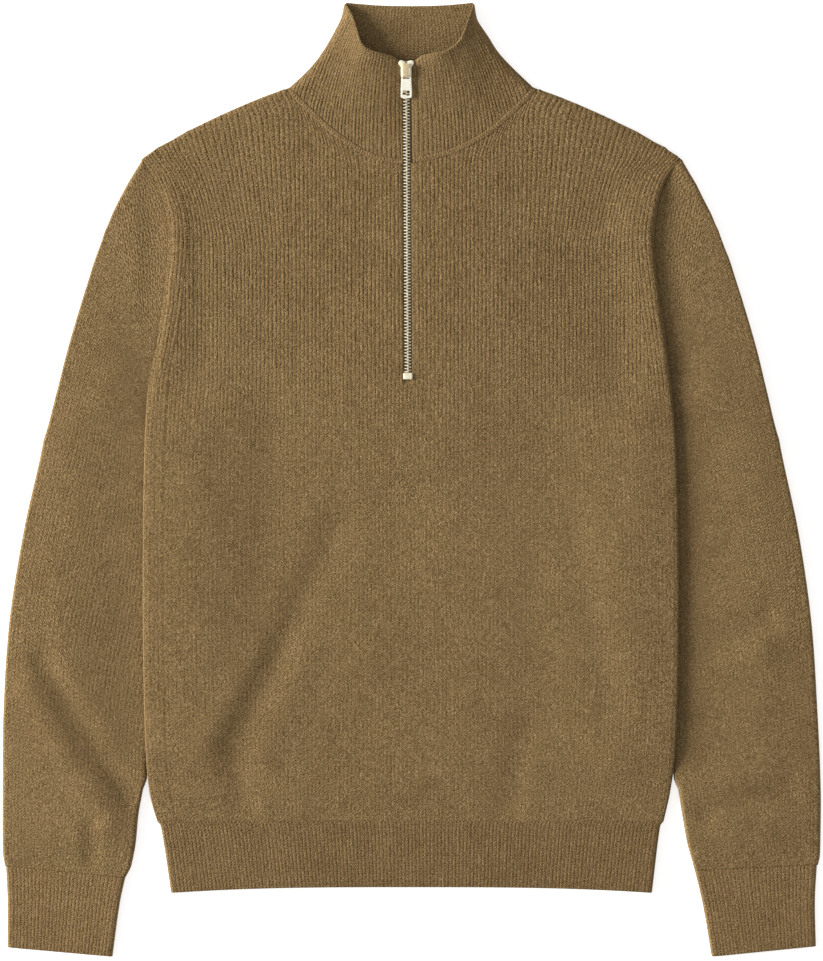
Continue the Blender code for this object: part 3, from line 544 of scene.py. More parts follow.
class Shell:
    """Points and triangles of one closed cloth wall, with a stitch place at each point."""

    def __init__(self):
        self.points = []
        self.stitches = []
        self.faces = []

    def run(self, spots):
        """Adds (station, point, stitch) spots and returns their (station, index) run."""
        start = len(self.points)
        self.points += [point for _, point, _ in spots]
        self.stitches += [stitch for _, _, stitch in spots]
        return [(spot[0], start + k) for k, spot in enumerate(spots)]

    def fill(self, low, high):
        """Fills between two runs with triangles, whichever has the next station first."""
        i = j = 0
        while i < len(low) - 1 or j < len(high) - 1:
            if j == len(high) - 1 or (i < len(low) - 1 and low[i + 1][0] <= high[j + 1][0]):
                self.faces.append((low[i][1], low[i + 1][1], high[j][1]))
                i += 1
            else:
                self.faces.append((low[i][1], high[j + 1][1], high[j][1]))
                j += 1

    def skin(self, rows, closed=False):
        """Fills between rows of spots. A row is one run, or two where a slit parts it."""
        made = []
        for row in rows:
            runs = [self.run(spots) for spots in row]
            if closed:
                runs = [run + [(math.inf, run[0][1])] for run in runs]
            if made:
                below = made[-1]
                if len(runs) > len(below):
                    below = parted(below[0], runs)
                for low, high in zip(below, runs):
                    self.fill(low, high)
            made.append(runs)
        return made

    def side(self, first, second):
        """Quads between two lists of point indices."""
        for k in range(len(first) - 1):
            self.faces.append((first[k], first[k + 1], second[k + 1], second[k]))

    def mesh(self, name):
        made = bpy.data.meshes.new(name)
        made.from_pydata([(x * MM, y * MM, z * MM) for x, y, z in self.points], [], self.faces)
        places = made.attributes.new("knit", "FLOAT_VECTOR", "POINT")
        places.data.foreach_set("vector", [part for stitch in self.stitches for part in stitch])
        form = bmesh.new()
        form.from_mesh(made)
        bmesh.ops.recalc_face_normals(form, faces=form.faces)
        form.to_mesh(made)
        form.free()
        made.shade_smooth()
        return made


def parted(run, pair):
    """Splits a run where the pair of runs above it part."""
    left_end, right_start = pair[0][-1][0], pair[1][0][0]
    return [[r for r in run if r[0] <= left_end], [r for r in run if r[0] >= right_start]]


def between(run, pair):
    """The places of a run that lie below a slit, ends included."""
    left_end, right_start = pair[0][-1][0], pair[1][0][0]
    return [r for r in run if left_end <= r[0] <= right_start]


def panel_mesh(name, *rows):
    """Joins the outer and inner skins of an open panel round its edge, and along its slit."""
    shell = Shell()
    outer, inner = skins = [shell.skin(each) for each in rows]
    for row in (0, -1):
        for fine, plain in zip(outer[row], inner[row]):
            shell.fill(fine, plain)
    for end in (0, -1):
        shell.side(*[[runs[end][end][1] for runs in skin] for skin in skins])
    base = next((k for k, runs in enumerate(outer) if len(runs) > 1), None)
    if base:
        floors = [between(skin[base - 1][0], skin[base]) for skin in skins]
        shell.fill(*floors)
        for run, part in ((0, -1), (1, 0)):
            sides = []
            for skin, floor in zip(skins, floors):
                sides.append([floor[-1 - part][1]] + [runs[run][part][1] for runs in skin[base:]])
            shell.side(*sides)
    return shell.mesh(name)


def add_piece(mesh, finish, body, node):
    """Puts a cloth mesh in the scene in place of a CAD node."""
    piece = bpy.data.objects.new(mesh.name, mesh)
    bpy.context.scene.collection.objects.link(piece)
    mesh.materials.append(finish)
    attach(piece, body)
    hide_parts(node)
    return piece


# ---------------------------------------------------------------- body


def rib_at(step):
    return RIB_SHAPE[step % RIB_STEPS]


def rib_rise():
    return cloth().rib_rise / MM


def rib_wander(x, y):
    """Millimetres by which a rib strays sideways."""
    return 0.6 * noise.noise(Vector((x / 5, y / 9, 11.0)))


def rib_strength(x, y):
    """Ribs stand a little fuller here and there."""
    return max(0.1, 0.95 + 1.1 * noise.noise(Vector((x / 3.6, y / 11, 4.0))))


def least_reach(side, y):
    return min(edge_at(SLEEVE_INNER, side, y + step) for step in (-LIFT_ROW, 0, LIFT_ROW))


# How far in the sleeves' inner strips come under the body.
REACH = [Edge(y, *(least_reach(side, y) for side in SIDES)) for y in range(-270, 100, 15)]


def lift(x, y, ramp=LIFT_RAMP):
    """Height of the body's underside where it lies on a sleeve's inner strip."""
    low, high = LIFT_FULL
    ends = ease((UNDERARM_Y - y) / (UNDERARM_Y - high)) * ease((y - LAST_FLAT_Y) / (low - LAST_FLAT_Y))
    if not ends:
        return 0.0
    full_from = min(edge_at(rows, side_of(x), y) for rows in (REACH, BODY_EDGE)) - LIFT_MARGIN
    return LIFT * ends * ease(1 - (full_from - abs(x)) / ramp)


def body_air(x, y):
    """Air between the front and the back."""
    crown = 1 - min(1.0, abs(x) / HALF_CHEST) ** 3
    air = mix(RIB_AIR, AIR_AT_FOLDS + BODY_CROWN * crown, ease((y - HEM_SEAM_Y) / 32))
    air += uneven(x, y, 0.0) - sunk(BODY_CREASES, x, y)
    return min(MOST_AIR, max(LAYER_GAP, air))


def strip_roll(x, y):
    """Height of the soft roll of ribs along the armhole."""
    side = side_of(x)
    away = armhole_edge(side, min(y, SHOULDER_TIP_Y)) - abs(x)
    ends = ease((y - UNDERARM_Y + 40) / 60) * ease((SHOULDER_TIP_Y - y) / 45)
    crest = STRIP_ROLL_EDGE[side]
    here = mix(STRIP_FOOT[side], 1.0, ease(away / crest)) * ease(1 - (away - crest) / STRIP_ROLL_FADE)
    return STRIP_ROLL[side] * ends * here


def front_z(x, y, top):
    """Outer face of the front without its ribs."""
    raised = lift(x, y, SOFT_RAMP)
    share = 1.0
    if y < UNDERARM_Y:
        away = edge_at(BODY_EDGE, side_of(x), y) - abs(x)
        share = mix(roll(away, SIDE_ROLL), 1.0, ease((y - LIFT_FULL[1]) / (UNDERARM_Y - LIFT_FULL[1])))
    share *= mix(1.0, roll(top - y, SHOULDER_ROLL), by_shoulder(x))
    return mix(raised + EDGE_Z, raised + 2 * WALL + body_air(x, y), share) + strip_roll(x, y)


def by_shoulder(x):
    """0 under the neck and 1 under the shoulder."""
    return ease((abs(x) - SHOULDER_NECK_X) / SHOULDER_BLEND)


def band_way(side, share):
    """Direction across the linked band: square to the seam, then along the shoulder line at its end."""
    behind, ahead = (spot_along(NECK[side], clamp(share + step)) for step in (-0.02, 0.02))
    run = math.dist(behind, ahead)
    square = ((ahead.y - behind.y) / run, (behind.x - ahead.x) / run)
    turn = ease((share - 0.88) / 0.12)
    return [mix(s, 1.09 * end, turn) for s, end in zip(square, SHOULDER_SLOPE)]


def past_neck_band(side):
    """Neckline of the body: the neck seam moved out by the linked band."""
    reach = NECK_BAND - SEAM_OVERLAP
    out = []
    for share in shares(NECK_SEAM_STEPS):
        spot, aside = spot_along(NECK[side], share), band_way(side, share)
        out.append(Spot(spot.x + reach * aside[0], spot.y + reach * aside[1]))
    return out


NECKLINE = {side: past_neck_band(side) for side in SIDES}


def shoulder_y(x):
    """Shoulder line, smooth through its spots."""
    return edge_at([Edge(s.x, s.y, s.y) for s in SHOULDER], "left", abs(x))


def front_top(x):
    """Upper edge of the front at an x: the neckline, then the shoulder."""
    line = NECKLINE[side_of(x)]
    return height_on(line, abs(x)) if abs(x) < line[-1].x else shoulder_y(x)


def back_top(x):
    """Upper edge of the back at an x."""
    if abs(x) >= NECKLINE["left"][-1].x:
        return shoulder_y(x)
    seam = SHOULDER[0].y - BACK_NECK_SAG * (1 - (x / SHOULDER_NECK_X) ** 2)
    return min(shoulder_y(x), seam - NECK_BAND + SEAM_OVERLAP)


Column = namedtuple("Column", "station side away strip step")


def step_width():
    return cloth().rib_pitch / MM / RIB_STEPS


def strip_width():
    return STRIP_RIBS * RIB_STEPS * step_width()


def armhole_edge(side, y):
    """Half width of the body, carried on above the shoulder tip along the armhole's way."""
    return edge_at(BODY_EDGE, side, y) + TIP_LEAN * max(0.0, y - SHOULDER_TIP_Y)


def inside_strip(side, y):
    """Half width of the body short of the strip of ribs that follows its edge."""
    return armhole_edge(side, y) - strip_width()


def body_columns(skip):
    """Columns across the body. Inner ones run upright, the strip's follow the armhole; skip thins them."""
    columns = []
    for side, sign in SIDES.items():
        for k in range(1, int(inside_strip(side, UNDERARM_Y) / step_width())):
            if k % skip == 0 or k <= SLIT_RIBS * RIB_STEPS and k % RIB_STEPS == 0:
                columns.append(Column(sign * k, side, k * step_width(), False, k))
        last = STRIP_RIBS * RIB_STEPS - 1
        for k in range(0, last, min(skip, RIB_STEPS)):
            away = strip_width() - k * step_width()
            columns.append(Column(sign * (STRIP_STATION + k), side, away, True, k))
        for k, inset in enumerate(EDGE_INSETS):
            columns.append(Column(sign * (STRIP_STATION + last + k), side, inset, True, 0))
    columns.append(Column(0, "left", 0.0, False, 0))
    return sorted(columns, key=lambda c: c.station)


def zip_x(y):
    return ZIP_X + ZIP_DRIFT * (y - ZIP_BOTTOM_Y)


def column_x(column, y):
    """Where a column runs at a height, before the zip's slit moves it aside."""
    side, sign = column.side, SIDES[column.side]
    if column.strip:
        return sign * (armhole_edge(side, y) - column.away)
    here = inside_strip(side, y)
    shift = 0.0
    if y <= UNDERARM_Y:
        from_x = inside_strip(side, UNDERARM_Y)
        shift = (here - from_x) * ease((column.away - from_x + LEAN_LOW) / LEAN_LOW)
    elif y > NARROW_Y:
        from_x = inside_strip(side, NARROW_Y)
        pull = ease((column.away - from_x + LEAN_HIGH) / LEAN_HIGH)
        up = (y - NARROW_Y) / (SHOULDER_TIP_Y - NARROW_Y)
        straight = (inside_strip(side, SHOULDER_TIP_Y) - from_x) * up
        shift = pull * mix(straight, here - from_x, pull**4)
    return sign * (column.away + shift)


def slit_shift(station, x, y):
    """How far a column moves aside for the zip. The slit is shut a little below the zip."""
    opening = ease(1 - (SLIT_Y - y) / 12)
    if not opening or abs(station) >= STRIP_STATION:
        return 0.0
    edges = [station_edge * step_width() for station_edge in SLIT_EDGES]
    moves = (zip_x(y) - SLIT / 2 - edges[0], zip_x(y) + SLIT / 2 - edges[1])
    if station <= SLIT_EDGES[0]:
        return opening * moves[0] * ease(1 - (edges[0] - x) / SLIT_FADE)
    if station >= SLIT_EDGES[1]:
        return opening * moves[1] * ease(1 - (x - edges[1]) / SLIT_FADE)
    return opening * mix(*moves, (x - edges[0]) / (edges[1] - edges[0]))


def still_there(column, y):
    """An inner column ends where the strip along the armhole crosses it."""
    if column.strip or y <= UNDERARM_Y:
        return True
    return column.away < inside_strip(column.side, min(y, NARROW_Y)) - 0.3 * step_width()


def neck_lean(x, drop):
    """Ribs bend outwards to run along the neck band just below it."""
    here = ease((abs(x) - 30) / 40) * ease((165 - abs(x)) / 55)
    return SIDES[side_of(x)] * NECK_LEAN * here * ease(1 - drop / NECK_LEAN_DEPTH) ** 1.3


def column_top(column, top_of, slit):
    """Height at which a leaning column meets the upper edge."""
    top = SHOULDER_TIP_Y
    for _ in range(8):
        x = column_x(column, top)
        top = top_of(x + neck_lean(x, 0.0) if slit else x)
    return top


def body_rows(columns, top_of, slit):
    """Rows of (column, x, y, height of the top edge) up the body, finer by its hem, slit and top."""
    foot = (SLIT_Y - HEM_SEAM_Y) / (front_top(ZIP_X) - SHOULDER_ROLL - HEM_SEAM_Y)
    levels = [s for s in shares(BODY_ROWS) if abs(s - foot) > 0.4 / BODY_ROWS]
    levels += [foot, foot + 1.2 / 570, foot + 2.6 / 570] + [k / (BODY_ROWS * 8) for k in FINE_ROWS]
    tops = {c.station: column_top(c, top_of, slit) for c in columns}
    rows = []
    for share, drop in [(s, None) for s in sorted(levels)] + [(1.0, d) for d in EDGE_DROPS]:
        row = []
        for c in columns:
            top = tops[c.station]
            y = mix(HEM_SEAM_Y, top - SHOULDER_ROLL, share) if drop is None else top - drop
            if not still_there(c, y):
                continue
            x = column_x(c, y)
            if slit:
                x += slit_shift(c.station, x, y) + neck_lean(x, top - y)
            row.append((c, x, y, top))
        if slit and share > foot + 1e-6:
            first, last = SLIT_EDGES
            rows.append([[r for r in row if r[0].station <= first], [r for r in row if r[0].station >= last]])
        else:
            rows.append([row])
    return rows


def edge_fall(column, x, y, top):
    """How far the front's outer face falls at its rounded edges."""
    fall = TRIM_LIP * lip(y - HEM_SEAM_Y, 1.6)
    if column.strip:
        fall = max(fall, mix(1.0, SEAM_LIP, ease((y - UNDERARM_Y + 8) / 8)) * lip(column.away))
    fall = max(fall, mix(SEAM_LIP, 0.8, by_shoulder(x)) * lip(top - y))
    if y >= SLIT_Y - 1:
        fall = max(fall, SOFT_LIP * lip(abs(x - zip_x(y)) - SLIT / 2, SLIT_LIP))
    return fall


def fullness(x, y):
    """Ribs stand fullest at the shoulders, relax down the body and leave a plain strip along the slit."""
    full = mix(0.24, 0.74, ease((y + 10) / 190)) * rib_strength(x, y)
    if y < SLIT_Y - 3:
        return full
    away = abs(x - zip_x(y)) - SLIT / 2
    return full * (ease(away / 4.6 - 0.4) if x > zip_x(y) else ease(away / 2.4 - 0.3))


def knit_rows(rows, spot_of):
    """Rows of (station, point, stitch) spots; spot_of gives a point and how full its rib is."""
    made = []
    for row in rows:
        runs = []
        for run in row:
            spots = []
            for column, x, y, top in run:
                point, full = spot_of(column, x, y, top)
                spots.append((column.station, point, (column.step / RIB_STEPS, y, full)))
            runs.append(spots)
        made.append(runs)
    return made


def make_front():
    def outside(c, x, y, top):
        full = fullness(x, y) * (ease(c.away / STRIP_EDGE_FADE) if c.strip else 1.0)
        if c.away > 1 and abs(x - zip_x(y)) > 8:
            x += rib_wander(x, y)
        z = front_z(x, y, top) - edge_fall(c, x, y, top) + rib_rise() * rib_at(c.step) * full
        return (x, y, z), full

    def inside(c, x, y, top):
        return (x, y, front_z(x, y, top) - WALL), INNER_FULL

    outer = body_rows(body_columns(1), front_top, True)
    inner = body_rows(body_columns(2 * RIB_STEPS), front_top, True)
    return panel_mesh("front_panel", knit_rows(outer, outside), knit_rows(inner, inside))


def make_back():
    def fall(c, y, top):
        return SOFT_LIP * max(lip(c.away) if c.strip else 0.0, lip(top - y), lip(y - HEM_SEAM_Y))

    def under(c, x, y, top):
        return (x, y, lift(x, y) + fall(c, y, top)), PLAIN_FULL

    def upper(c, x, y, top):
        return (x, y, lift(x, y) + WALL - fall(c, y, top)), PLAIN_FULL

    rows = body_rows(body_columns(RIB_STEPS), back_top, False)
    return panel_mesh("back_panel", knit_rows(rows, under), knit_rows(rows, upper))


# ---------------------------------------------------------------- sleeves, cuffs and hem


Section = namedtuple("Section", "across height cover along end_fall full")


def tube_mesh(name, sections, ribs):
    """A ribbed top from one fold to the other, then the flat underside, and a plainer skin inside."""
    outer, inner = [], []
    for s in sections:
        width = math.dist(s.across(0.0), s.across(1.0))
        spots = []
        for k, share in enumerate(shares(ribs * RIB_STEPS)):
            x, y = s.across(share)
            z = top_z(s, x, y, rib_at(k)) - s.end_fall
            spots.append((k, (x, y, z), (k / RIB_STEPS, s.along, s.full)))
        unders = [1 - inset / width for inset in FOLD_INSETS]
        unders += [1 - share for share in shares(UNDER_STEPS)[1:-1]]
        unders += [inset / width for inset in reversed(FOLD_INSETS)]
        for k, share in enumerate(unders):
            z = FOLD_Z * lip(min(share, 1 - share) * width, UNDER_ROLL) + s.end_fall
            spots.append((STRIP_STATION + k, (*s.across(share), z), (share * ribs, s.along, PLAIN_FULL)))
        outer.append([spots])
        first, last = INNER_INSET / width, 1 - INNER_INSET / width
        spots = []
        for k in range(0, ribs + 1, 2):
            share = mix(first, last, k / ribs)
            x, y = s.across(share)
            z = max(WALL + LAYER_GAP, top_z(s, x, y, 0.0) - WALL)
            spots.append((k * RIB_STEPS, (x, y, z), (share * ribs, s.along, INNER_FULL)))
        for k, under in enumerate(shares(UNDER_STEPS)):
            share = mix(last, first, under)
            stitch = (share * ribs, s.along, INNER_FULL)
            spots.append((STRIP_STATION + k + 0.5, (*s.across(share), WALL), stitch))
        inner.append([spots])
    shell = Shell()
    skins = [shell.skin(rows, closed=True) for rows in (outer, inner)]
    for row in (0, -1):
        shell.fill(*[skin[row][0] for skin in skins])
    return shell.mesh(name)


def top_z(section, x, y, rib_share):
    """Outer face of a tube's top, rounded at its folds and flat where the body lies on it."""
    near = min(math.dist((x, y), section.across(end)) for end in (0.0, 1.0))
    flat, under = (section.cover(x, y, fade) if section.cover else 0.0 for fade in (COVER_FADE, COVER_MARGIN))
    rise = rib_rise() * rib_share * section.full * rib_strength(x, y) * (1 - under)
    height = mix(section.height(x, y), EDGE_Z, flat)
    return mix(FOLD_Z, height, roll(near, TUBE_ROLL)) + rise * ease(near / 3)


def chord(first, last):
    return lambda share: (mix(first[0], last[0], share), mix(first[1], last[1], share))


def sleeve_height(side):
    """Outer face of a sleeve's top, highest along its middle."""

    def at(x, y):
        outer = edge_at(SLEEVE_OUTER, side, y)
        inner = min(edge_at(rows, side, y) for rows in (SLEEVE_INNER, BODY_EDGE))
        place = clamp((outer - abs(x)) / max(1.0, outer - inner))
        crown = SLEEVE_CROWN * mix(1.0, ARMHOLE_CROWN, ease((y - UNDERARM_Y + 30) / 70))
        air = mix(RIB_AIR, AIR_AT_FOLDS + crown * math.sin(math.pi * place), ease((y + 334) / 30))
        air += uneven(x, y, 3.0) - sunk(SLEEVE_CREASES, x, y)
        return 2 * WALL + min(MOST_AIR, max(LAYER_GAP, air))

    return at


def held_flat(side):
    """Share by which the body's side holds a sleeve flat at a place; it fades outside the body's edge."""

    def at(x, y, fade):
        ends = ease((UNDERARM_Y - 16 - y) / 32) * ease((y - LAST_FLAT_Y) / 24)
        outside = abs(x) - edge_at(BODY_EDGE, side, y) - COVER_MARGIN / 2
        return ends * ease(1 - outside / fade)

    return at


def ring_heights(place):
    """Heights of a ring's ends on the outer and the inner fold; whole places are the rows of the table."""
    rings = [Ring(SHOULDER_TIP_Y, UNDERARM_Y)] + SLEEVE_RINGS
    at = [Edge(k, ring.outer_y, ring.inner_y) for k, ring in enumerate(rings)]
    return [edge_at(at, side, place) for side in SIDES]


def sleeve_inner_x(side, y):
    """The inner fold hugs the body's edge at the underarm, then slips under it."""
    free = edge_at(SLEEVE_INNER, side, y)
    beside = edge_at(BODY_EDGE, side, y) + 0.15
    return mix(free, min(free, beside), ease((y - 20) / 30))


def make_sleeve(side):
    sign = SIDES[side]
    seam = CUFFS[side][0]
    last_ring = SLEEVE_RINGS[-1]
    count = len(SLEEVE_RINGS) + 1
    tip = sign * edge_at(SLEEVE_OUTER, side, SHOULDER_TIP_Y)
    underarm = sign * sleeve_inner_x(side, UNDERARM_Y)
    bow = []
    for share in shares(ARMHOLE_STEPS):
        armhole = edge_at(BODY_EDGE, side, mix(SHOULDER_TIP_Y, UNDERARM_Y, share)) - SEAM_OVERLAP
        bow.append(sign * armhole - mix(tip, underarm, share))

    def bowed(first, last, strength):
        """A line across the sleeve, bent like the armhole."""

        def at(share):
            k = min(ARMHOLE_STEPS - 1, int(share * ARMHOLE_STEPS))
            aside = mix(bow[k], bow[k + 1], share * ARMHOLE_STEPS - k) * strength
            return mix(first[0], last[0], share) + aside, mix(first[1], last[1], share)

        return at

    sections = []
    along = 0.0
    places = [k / SLEEVE_ROWS for k in range(count * SLEEVE_ROWS + 1)]
    for place in sorted(places + [0.02, count - 0.01, count - 0.03]):
        outer_y, inner_y = ring_heights(place)
        if place > count - 1:
            outer_y = mix(last_ring.outer_y, seam.outer_y, place - count + 1)
            inner_y = mix(last_ring.inner_y, seam.inner_y, place - count + 1)
        first = (sign * edge_at(SLEEVE_OUTER, side, outer_y), outer_y)
        last = (sign * sleeve_inner_x(side, inner_y), inner_y)
        if sections:
            along += math.dist(middle_of(first, last), middle)
        middle = middle_of(first, last)
        fall = SOFT_LIP * max(lip(place * SLEEVE_ROW), lip((count - place) * SLEEVE_ROW))
        fall *= mix(1.0, SEAM_LIP, ease(1 - place * 4))
        full = SLEEVE_FULL * ease((place - 0.7) / 1.3)
        line = bowed(first, last, ease(1 - place))
        sections.append(Section(line, sleeve_height(side), held_flat(side), -along, fall, full))
    return tube_mesh(f"{side}_sleeve", sections, SLEEVE_RIBS)


def trim_height(seed):
    """Outer face of a close rib's top."""
    return lambda x, y: 2 * WALL + RIB_AIR + TRIM_EVEN * uneven(x, y, seed)


def trim_fall(down, length):
    """How far a close rib's faces fall at its seam and at its free edge."""
    return max(TRIM_LIP * lip(down), SOFT_LIP * lip(length - down, 1.2))


def make_cuff(side):
    sign = SIDES[side]
    rows = [Edge(k, c.outer_x, c.outer_y) for k, c in enumerate(CUFFS[side])]
    folds = [Edge(k, c.inner_x, c.inner_y) for k, c in enumerate(CUFFS[side])]
    last_row = len(rows) - 1
    sections = []
    for place in sorted([last_row * share for share in shares(CUFF_ROWS)] + [0.01, 0.03, 1.97, 1.99]):
        first, last = (
            (sign * edge_at(fold, "right", place), edge_at(fold, "left", place) + SEAM_OVERLAP)
            for fold in (rows, folds)
        )
        fall = trim_fall(place * CUFF_ROW, last_row * CUFF_ROW)
        along = middle_of(first, last)[1]
        sections.append(Section(chord(first, last), trim_height(5.0), None, along, fall, CUFF_FULL))
    return tube_mesh(f"{side}_cuff", sections, CUFF_RIBS)


def hem_line(share_down):
    """A line across the hem band: share_down is 0 at the seam and 1 at the lower edge."""
    seam = BODY_EDGE[0]
    pinch = HEM_PINCH * ease(share_down / 0.06) * (1 - share_down) ** 1.5
    right, left = (mix(half, HEM_HALF_END, share_down**0.8) - pinch for half in (seam.right, seam.left))

    def at(share):
        low = mix(HEM_MID_Y, HEM_END_Y, abs(2 * share - 1) ** 3)
        return mix(-right, left, share), mix(HEM_SEAM_Y + SEAM_OVERLAP, low, share_down)

    return at


def make_hem():
    length = HEM_SEAM_Y - HEM_MID_Y
    sections = []
    for down in sorted(shares(HEM_ROWS) + [0.006, 0.02, 0.04, 0.06, 0.98, 0.994]):
        fall = trim_fall(down * length, length)
        along = HEM_SEAM_Y - down * length
        sections.append(Section(hem_line(down), trim_height(9.0), None, along, fall, HEM_FULL))
    return tube_mesh("hem", sections, round(2 * HALF_CHEST * MM / cloth().rib_pitch))


# ---------------------------------------------------------------- collar and linked band


def rounded_corner(share, up):
    """Draws places by the top of the side fold together, so that the corner is round."""
    beside, above = 1 - (1 - share) * COLLAR_ROW / CORNER, 1 - (1 - up) * COLLAR_HEIGHT / CORNER
    if beside <= 0 or above <= 0:
        return share, up
    pull = max(beside, above) / math.hypot(beside, above)
    return 1 - (1 - beside * pull) * CORNER / COLLAR_ROW, 1 - (1 - above * pull) * CORNER / COLLAR_HEIGHT


def collar_spot(side, share, up, front):
    """Plan point of the collar: share 0 is at the zip or the back's middle, 1 at the side fold."""
    share, up = rounded_corner(share, up)
    fold_low, fold_high = COLLAR_SIDE[side][0], COLLAR_SIDE[side][-1]
    if front:
        low, high = spot_along(NECK[side], share), spot_along(COLLAR_TOP[side], share)
    else:
        low = Spot(fold_low.x * share, fold_low.y - BACK_NECK_SAG * (1 - share**2))
        high = Spot(fold_high.x * share, fold_high.y - BACK_COLLAR_SAG * (1 - share**2))
    fold = spot_along(COLLAR_SIDE[side], up)
    pull = share**3
    corner = pull * ease((up - CORNER_FROM) / (1 - CORNER_FROM))
    x = mix(low.x, high.x, up) + (fold.x - mix(fold_low.x, fold_high.x, up)) * pull + CORNER_SPREAD * corner
    y = mix(low.y, high.y, up) + (fold.y - mix(fold_low.y, fold_high.y, up)) * pull + CORNER_RISE * corner
    if front:
        x -= (COLLAR_SLIT - SLIT) / 2 * ease(1 - share / 0.1)
        y -= COLLAR_NOTCH * ease(1 - share / 0.13) * up**6
    return SIDES[side] * x, y


def neck_z(side, share):
    """Outer face of the cloth at the foot of the collar's front."""
    return 2 * WALL + body_air(*collar_spot(side, share, 0.0, True))


def from_fold(side, share, up, front):
    """Distance of a place on the collar from its side fold."""
    return math.dist(collar_spot(side, share, up, front), collar_spot(side, 1.0, up, front))


def collar_front_z(side, share, up):
    """Outer face of the collar's front, which stands a little off the back."""
    rise = COLLAR_RISE_AT_ZIP * (1 - share) + COLLAR_RISE_MID * math.sin(math.pi * share)
    rise -= sunk(COLLAR_CREASES, *collar_spot(side, share, up, True))
    by_zip = COLLAR_ROW * share
    rise += COLLAR_PUFF * ease((by_zip - 1.5) / 7) * ease(1.3 - by_zip / 34) * ease((up - 0.3) / 0.4)
    plain = neck_z(side, share) + rise * up**COLLAR_RISE_BEND
    return mix(FOLD_Z, plain, roll(from_fold(side, share, up, True), COLLAR_ROLL))


def row_length(side, up, front):
    """Length of a row of the collar from the middle to the side fold."""
    spots = [collar_spot(side, share, up, front) for share in shares(12)]
    return sum(math.dist(a, b) for a, b in zip(spots, spots[1:]))


def collar_half(side, up, front, skip, insets):
    """(station, share, step) of the columns of one half of a row, from the middle to the fold."""
    length = row_length(side, up, front)
    pitch = mix(*COLLAR_PITCH, up) / RIB_STEPS
    most = int(row_length(side, 0.0, front) / (COLLAR_PITCH[0] / RIB_STEPS))
    kept = [k for k in range(0, most, skip) if k * pitch < length - insets[0] - 0.3 * pitch]
    found = [(k, k * pitch / length, k) for k in kept]
    return found + [(STRIP_STATION + k, 1 - inset / length, 0) for k, inset in enumerate(insets)]


def round_the_neck(up, fronts, backs):
    """Columns of a row from the zip round the back to the zip: (station, side, share, front, step)."""
    row = []
    quarters = (("right", True, 0, 1), ("right", False, 2, -1), ("left", False, 2, 1), ("left", True, 4, -1))
    for side, front, turns, way in quarters:
        half = collar_half(side, up, front, *(fronts if front else backs))
        if turns == 2 and way > 0:
            half = half[1:]
        row += [(turns * HALF_TURN + way * k, side, share, front, step) for k, share, step in half[::way]]
    return row


def make_collar():
    outer, inner = [], []
    for up in sorted(shares(COLLAR_ROWS) + [0.004, 0.012, 0.975, 0.988, 0.996]):
        height = COLLAR_HEIGHT * up
        fall = max(SEAM_LIP * lip(height), 1.2 * lip(COLLAR_HEIGHT - height, 2.4))
        lengths = {side: row_length(side, up, True) for side in SIDES}
        spots = []
        for station, side, share, front, step in round_the_neck(
            up, (1, (0.8, 0.3, 0.0)), (6 * RIB_STEPS, (3.5, 1.6, 0.5))
        ):
            x, y = collar_spot(side, share, up, front)
            if front:
                by_zip = lengths[side] * share
                z = collar_front_z(side, share, up) - max(fall, SOFT_LIP * lip(by_zip, SLIT_LIP))
                full = ease(by_zip / 4.2 - 0.3) if side == "left" else ease(by_zip / 2.0 - 0.2)
                full *= mix(0.85, 0.6, ease((up - 0.2) / 0.6)) * rib_strength(x, y)
                z += rib_rise() * rib_at(step) * full * ease((1 - share) * 30)
            else:
                z = FOLD_Z * lip(from_fold(side, share, up, False), BACK_ROLL) + SOFT_LIP * fall
                full = PLAIN_FULL
            spots.append((station, (x, y, z), (step / RIB_STEPS, height, full)))
        outer.append([spots])
        spots = []
        for station, side, share, front, step in round_the_neck(up, (3 * RIB_STEPS, (2.4,)), (1, (2.4,))):
            if front:
                z = max(WALL + LAYER_GAP, collar_front_z(side, share, up) - WALL)
            else:
                z = WALL - 0.8 * fall + 0.35 * rib_rise() * rib_at(step) * ease((1 - share) * 14)
            point = (*collar_spot(side, share, up, front), z)
            spots.append((station, point, (step / RIB_STEPS, height, PLAIN_FULL)))
        inner.append([spots])
    return panel_mesh("stand_collar", outer, inner)


def band_spot(side, share, up, front):
    """Plan point of the linked band: up is 0 at its outer edge and 1 beside the collar."""
    x, y = collar_spot(side, share, 0.0, front)
    reach = mix(NECK_BAND, -SEAM_OVERLAP, up)
    if front:
        aside = band_way(side, share)
        return x + reach * SIDES[side] * aside[0], y + reach * aside[1]
    turn = ease((share - 0.85) / 0.15)
    down = mix(1.0, -SHOULDER_SLOPE[1], turn)
    return x + reach * SIDES[side] * 1.02 * SHOULDER_SLOPE[0] * turn, y - reach * down


def band_columns():
    """Places along the linked band from the zip round the back to the zip: (side, share, front)."""
    front = shares(BAND_STEPS)
    row = [("right", share, True) for share in front]
    row += [("right", share, False) for share in reversed(BAND_BACK)]
    row += [("left", share, False) for share in BAND_BACK[1:]]
    return row + [("left", share, True) for share in reversed(front)]


